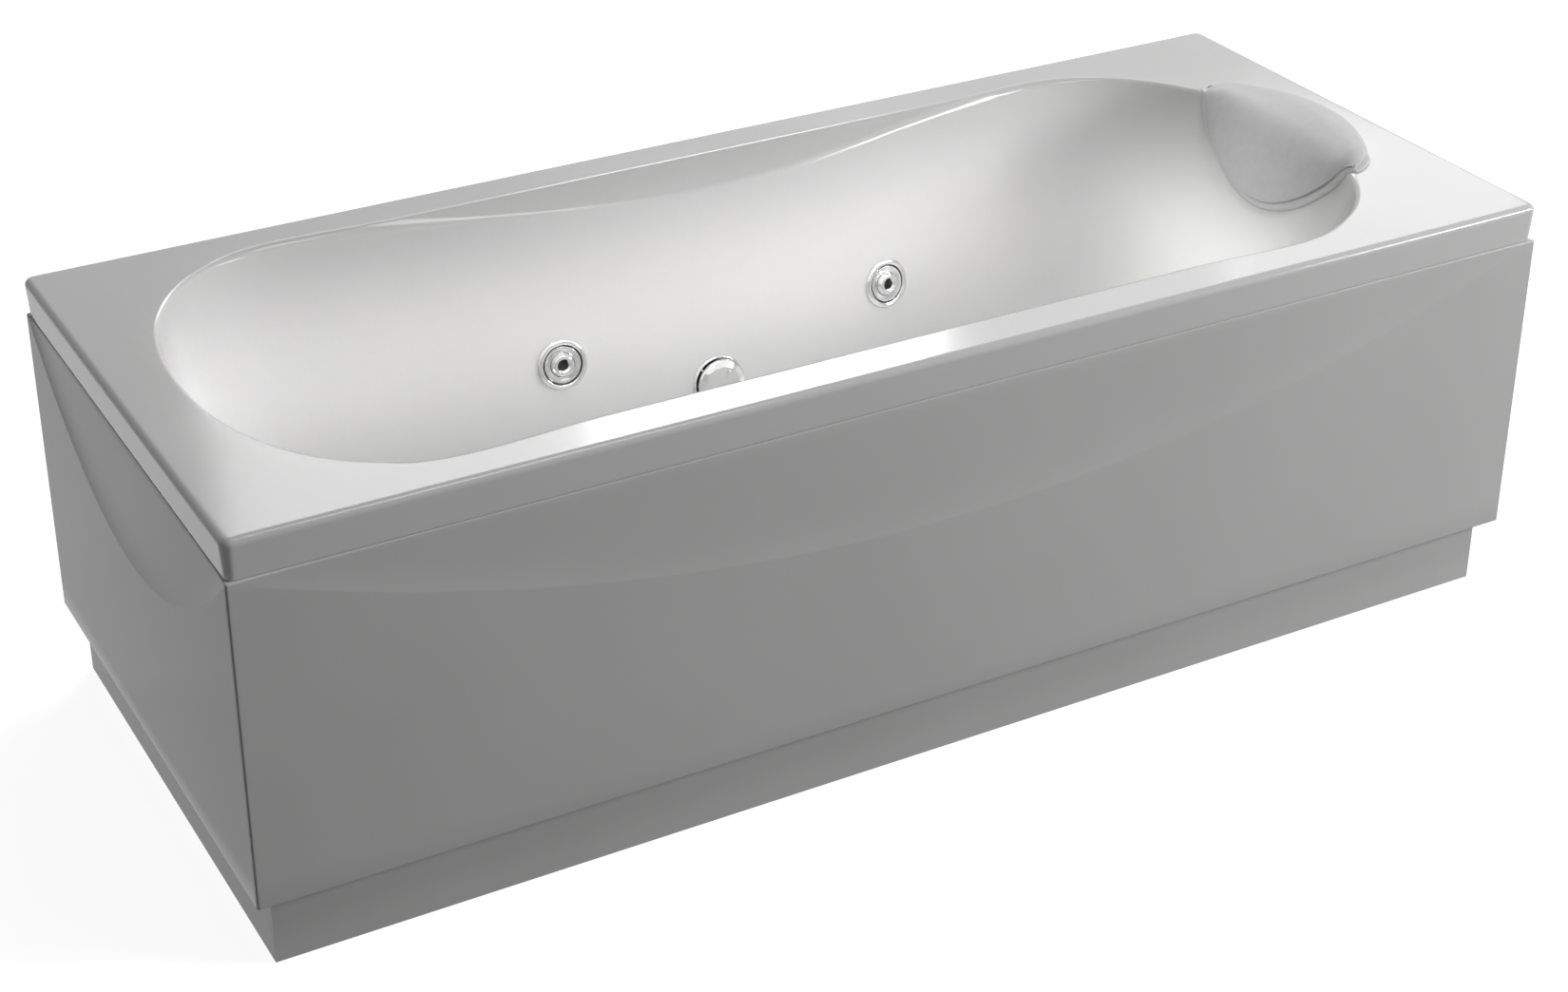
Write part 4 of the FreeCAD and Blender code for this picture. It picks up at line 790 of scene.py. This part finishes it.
def crowned(lines, sharpness=0.62):
    """Gives each line one even bulge between its ends, high enough to clear the line it replaces."""
    start, chord = lines[:, :1], lines[:, -1:] - lines[:, :1]
    length = np.linalg.norm(chord, axis=2, keepdims=True).clip(1e-6)
    share = ((lines - start) * chord).sum(2, keepdims=True) / length ** 2
    lift = lines - start - share * chord
    height = np.linalg.norm(lift, axis=2, keepdims=True)
    way = lift.sum(axis=1, keepdims=True)
    way = way / np.linalg.norm(way, axis=2, keepdims=True).clip(1e-6)
    even = (1 - np.cos(np.linspace(0, np.pi, lines.shape[1])))[None, :, None] / 2
    bulge = (4 * share * (1 - share)).clip(0.05, 1) ** sharpness
    peak = (height / bulge)[:, 3:-3].max(axis=1, keepdims=True)
    return start + even * chord + way * peak * (4 * even * (1 - even)) ** sharpness


def headrest_pad():
    """Crowned pad; its rolled edge stands a little off the back plate."""
    count, off_plate, roll, edge_t = 64, 0.4, 2.6, 3.0
    seat, normal, y, tip = rest_loops(REST_PAD_HALF, REST_BACK_X, REST_DROP - REST_BAND, count, 120)
    side = from_middle(count)
    reach = np.clip(1 - (y / REST_PAD_HALF) ** 2, 0, None)[:, None]
    under = REST_GAP + base_thickness(y) + off_plate + roll * side ** 12
    crown = edge_t + REST_THICK * reach ** 0.9
    thick = crown * (1 - side ** 2.2).clip(0) ** 0.55 * (0.1 + 0.9 * tip) + 0.1
    over = crowned(seat + normal * (under + thick)[..., None])
    return close_loops(seat + normal * under[..., None], over)


def build_headrest():
    for name, shape, material, node in (("headrest_back", headrest_back, PAD_BACK, "headrest_base"),
                                        ("headrest_pad", headrest_pad, PAD_SKIN, "headrest_cushion")):
        bm = bmesh.new()
        add_faces(bm, *shape())
        piece = make_object(name, finish_bmesh(bm, name), material, "headrest", [node], 60)


# ------------------------------------------------------------------ CAD nodes that stay
FINISHES = {
    SHADED_PANEL: ["front_plinth", "end_plinth"],
    BOARD: ["base_board"],
    ZINC: ["apron_clips", "apron_screws", "wall_brackets", "foot_nuts"]
          + [f"foot_{number}" for number in range(1, 7)],
    FRAME_PAINT: ["frame_rails", "cross_members", "uprights", "pump_plate"],
    PIPE: ["jet_bodies", "jet_nuts", "suction_body", "suction_nut", "air_valve_body", "button_body",
           "waste_body", "overflow_pipe", "drain_trap", "water_pipes", "suction_pipe"],
    CHROME: ["air_knob", "start_button", "waste_flange", "waste_plug", "overflow_body", "overflow_knob"],
    RUBBER: ["jet_gaskets", "suction_gasket", "pump_pads"],
    BLACK: ["pump_volute", "control_box", "cable_gland"],
    MOTOR: ["pump_motor"],
    STEEL: ["pump_rotor"],
    HOSE: ["air_pipes", "signal_tube"]}


def finish_nodes():
    """Gives the CAD nodes that stay visible their materials."""
    for finish, names in FINISHES.items():
        for name in names:
            for slot in nodes[name].material_slots:
                slot.material = finish


# ------------------------------------------------------------------ floor, world, lamps, camera
def for_view(tree, lighting, seen):
    """Mixes two shaders: the first lights the object, the second is what shows in the picture."""
    path = tree.nodes.new("ShaderNodeLightPath")
    shown = path.outputs["Is Camera Ray"]
    for ray in ("Is Glossy Ray", "Is Transmission Ray"):
        either = tree.nodes.new("ShaderNodeMath")
        either.operation = "MAXIMUM"
        tree.links.new(shown, either.inputs[0])
        tree.links.new(path.outputs[ray], either.inputs[1])
        shown = either.outputs[0]
    mix = tree.nodes.new("ShaderNodeMixShader")
    tree.links.new(shown, mix.inputs["Fac"])
    tree.links.new(lighting, mix.inputs[1])
    tree.links.new(seen, mix.inputs[2])
    return mix.outputs[0]


def build_floor(reach=30.0, bounce=0.15, seen=0.5, glow=0.9):
    """Floor that bounces little light, but shows nearly white and keeps the object's shadow."""
    mesh = bpy.data.meshes.new("floor")
    bm = bmesh.new()
    bmesh.ops.create_grid(bm, x_segments=8, y_segments=8, size=reach)
    bm.to_mesh(mesh)
    bm.free()
    material, tree, shader = new_material("studio floor")
    tree.nodes.remove(shader)
    lighting, shaded = [tree.nodes.new("ShaderNodeBsdfDiffuse") for _ in range(2)]
    lighting.inputs["Color"].default_value = (bounce, bounce, bounce, 1)
    shaded.inputs["Color"].default_value = (seen, seen, seen, 1)
    shine = tree.nodes.new("ShaderNodeEmission")
    shine.inputs["Strength"].default_value = glow
    both = tree.nodes.new("ShaderNodeAddShader")
    tree.links.new(shaded.outputs[0], both.inputs[0])
    tree.links.new(shine.outputs[0], both.inputs[1])
    out = tree.nodes["Material Output"]
    tree.links.new(for_view(tree, lighting.outputs[0], both.outputs[0]), out.inputs["Surface"])
    mesh.materials.append(material)
    add_object("floor", mesh)


def build_world(strength=0.09):
    """White surroundings that light the object at the given strength."""
    world = bpy.data.worlds.new("studio")
    bpy.context.scene.world = world
    world.use_nodes = True
    tree = world.node_tree
    lighting, seen = tree.nodes["Background"], tree.nodes.new("ShaderNodeBackground")
    for background, level in ((lighting, strength), (seen, 1.0)):
        background.inputs["Color"].default_value = (1, 1, 1, 1)
        background.inputs["Strength"].default_value = level
    out = tree.nodes["World Output"]
    tree.links.new(for_view(tree, lighting.outputs[0], seen.outputs[0]), out.inputs["Surface"])


# Area lamps: name, place, target, width and height, watts, width of the beam in degrees.
# The narrow beams light the basin's walls, and the cards are what the deck reflects.
ALL_ROUND, CARD_Y, CARD_Z = 180.0, 2.5, 2.3
LAMPS = [
    ("key", (0.95, -1.65, 4.53), (0, 0, 0.45), (1.4, 1.4), 33, ALL_ROUND),
    ("side", (3.37, -2.63, 1.84), (0, 0, 0.45), (1.4, 1.0), 84, ALL_ROUND),
    ("basin", (-0.40, 0, 2.91), (0.05, 0, 0.35), (0.2, 1.15), 0.8, 10.0),
    ("far wall", (-0.10, -2.04, 2.29), (-0.05, 0.26, 0.36), (1.2, 0.06), 0.22, 6.0),
    ("backrest", (-1.39, 0, 2.63), (0.62, 0, 0.40), (0.36, 0.06), 0.1, 6.0),
    ("foot end", (1.7, -0.3, 2.4), (-0.70, 0, 0.40), (0.30, 0.06), 0.25, 6.0)]
LAMPS += [(f"card {x}", (x, CARD_Y, CARD_Z), (aim_x, 0, 2.0), (0.9, 0.9), watts, ALL_ROUND)
          for x, aim_x, watts in ((0.45, 0.45, 9), (1.35, 1.2, 24), (2.25, 2.0, 4), (3.2, 2.6, 6))]


def add_lamp(name, place, target, size, watts, beam):
    lamp = bpy.data.lights.new(name, "AREA")
    lamp.shape = "RECTANGLE"
    lamp.size, lamp.size_y = size
    lamp.energy = watts
    lamp.spread = math.radians(beam)
    holder = add_object(name, lamp)
    turn = (Vector(target) - Vector(place)).to_track_quat("-Z", "Y").to_matrix().to_4x4()
    holder.matrix_world = Matrix.Translation(Vector(place)) @ turn


def build_camera():
    """The photograph's view, solved from the bath's straight edges."""
    place = (-1.54762, -2.72621, 1.97191)
    right, up = Vector((0.87764, -0.47931, -0.00151)), Vector((0.22116, 0.40216, 0.88846))
    camera = bpy.data.cameras.new("camera")
    camera.lens, camera.sensor_width = 65.67, 36.0
    camera.shift_x, camera.shift_y = 0.0184, -0.0753
    holder = add_object("camera", camera)
    turn = Matrix((right, up, right.cross(up))).transposed().to_4x4()
    holder.matrix_world = Matrix.Translation(place) @ turn
    bpy.context.scene.camera = holder


# ------------------------------------------------------------------ the scene
build_tub()
build_aprons()
build_jets()
build_suction()
build_headrest()
finish_nodes()
build_floor()
build_world()
for lamp_values in LAMPS:
    add_lamp(*lamp_values)
build_camera()
bpy.context.scene.view_settings.view_transform = "Standard"
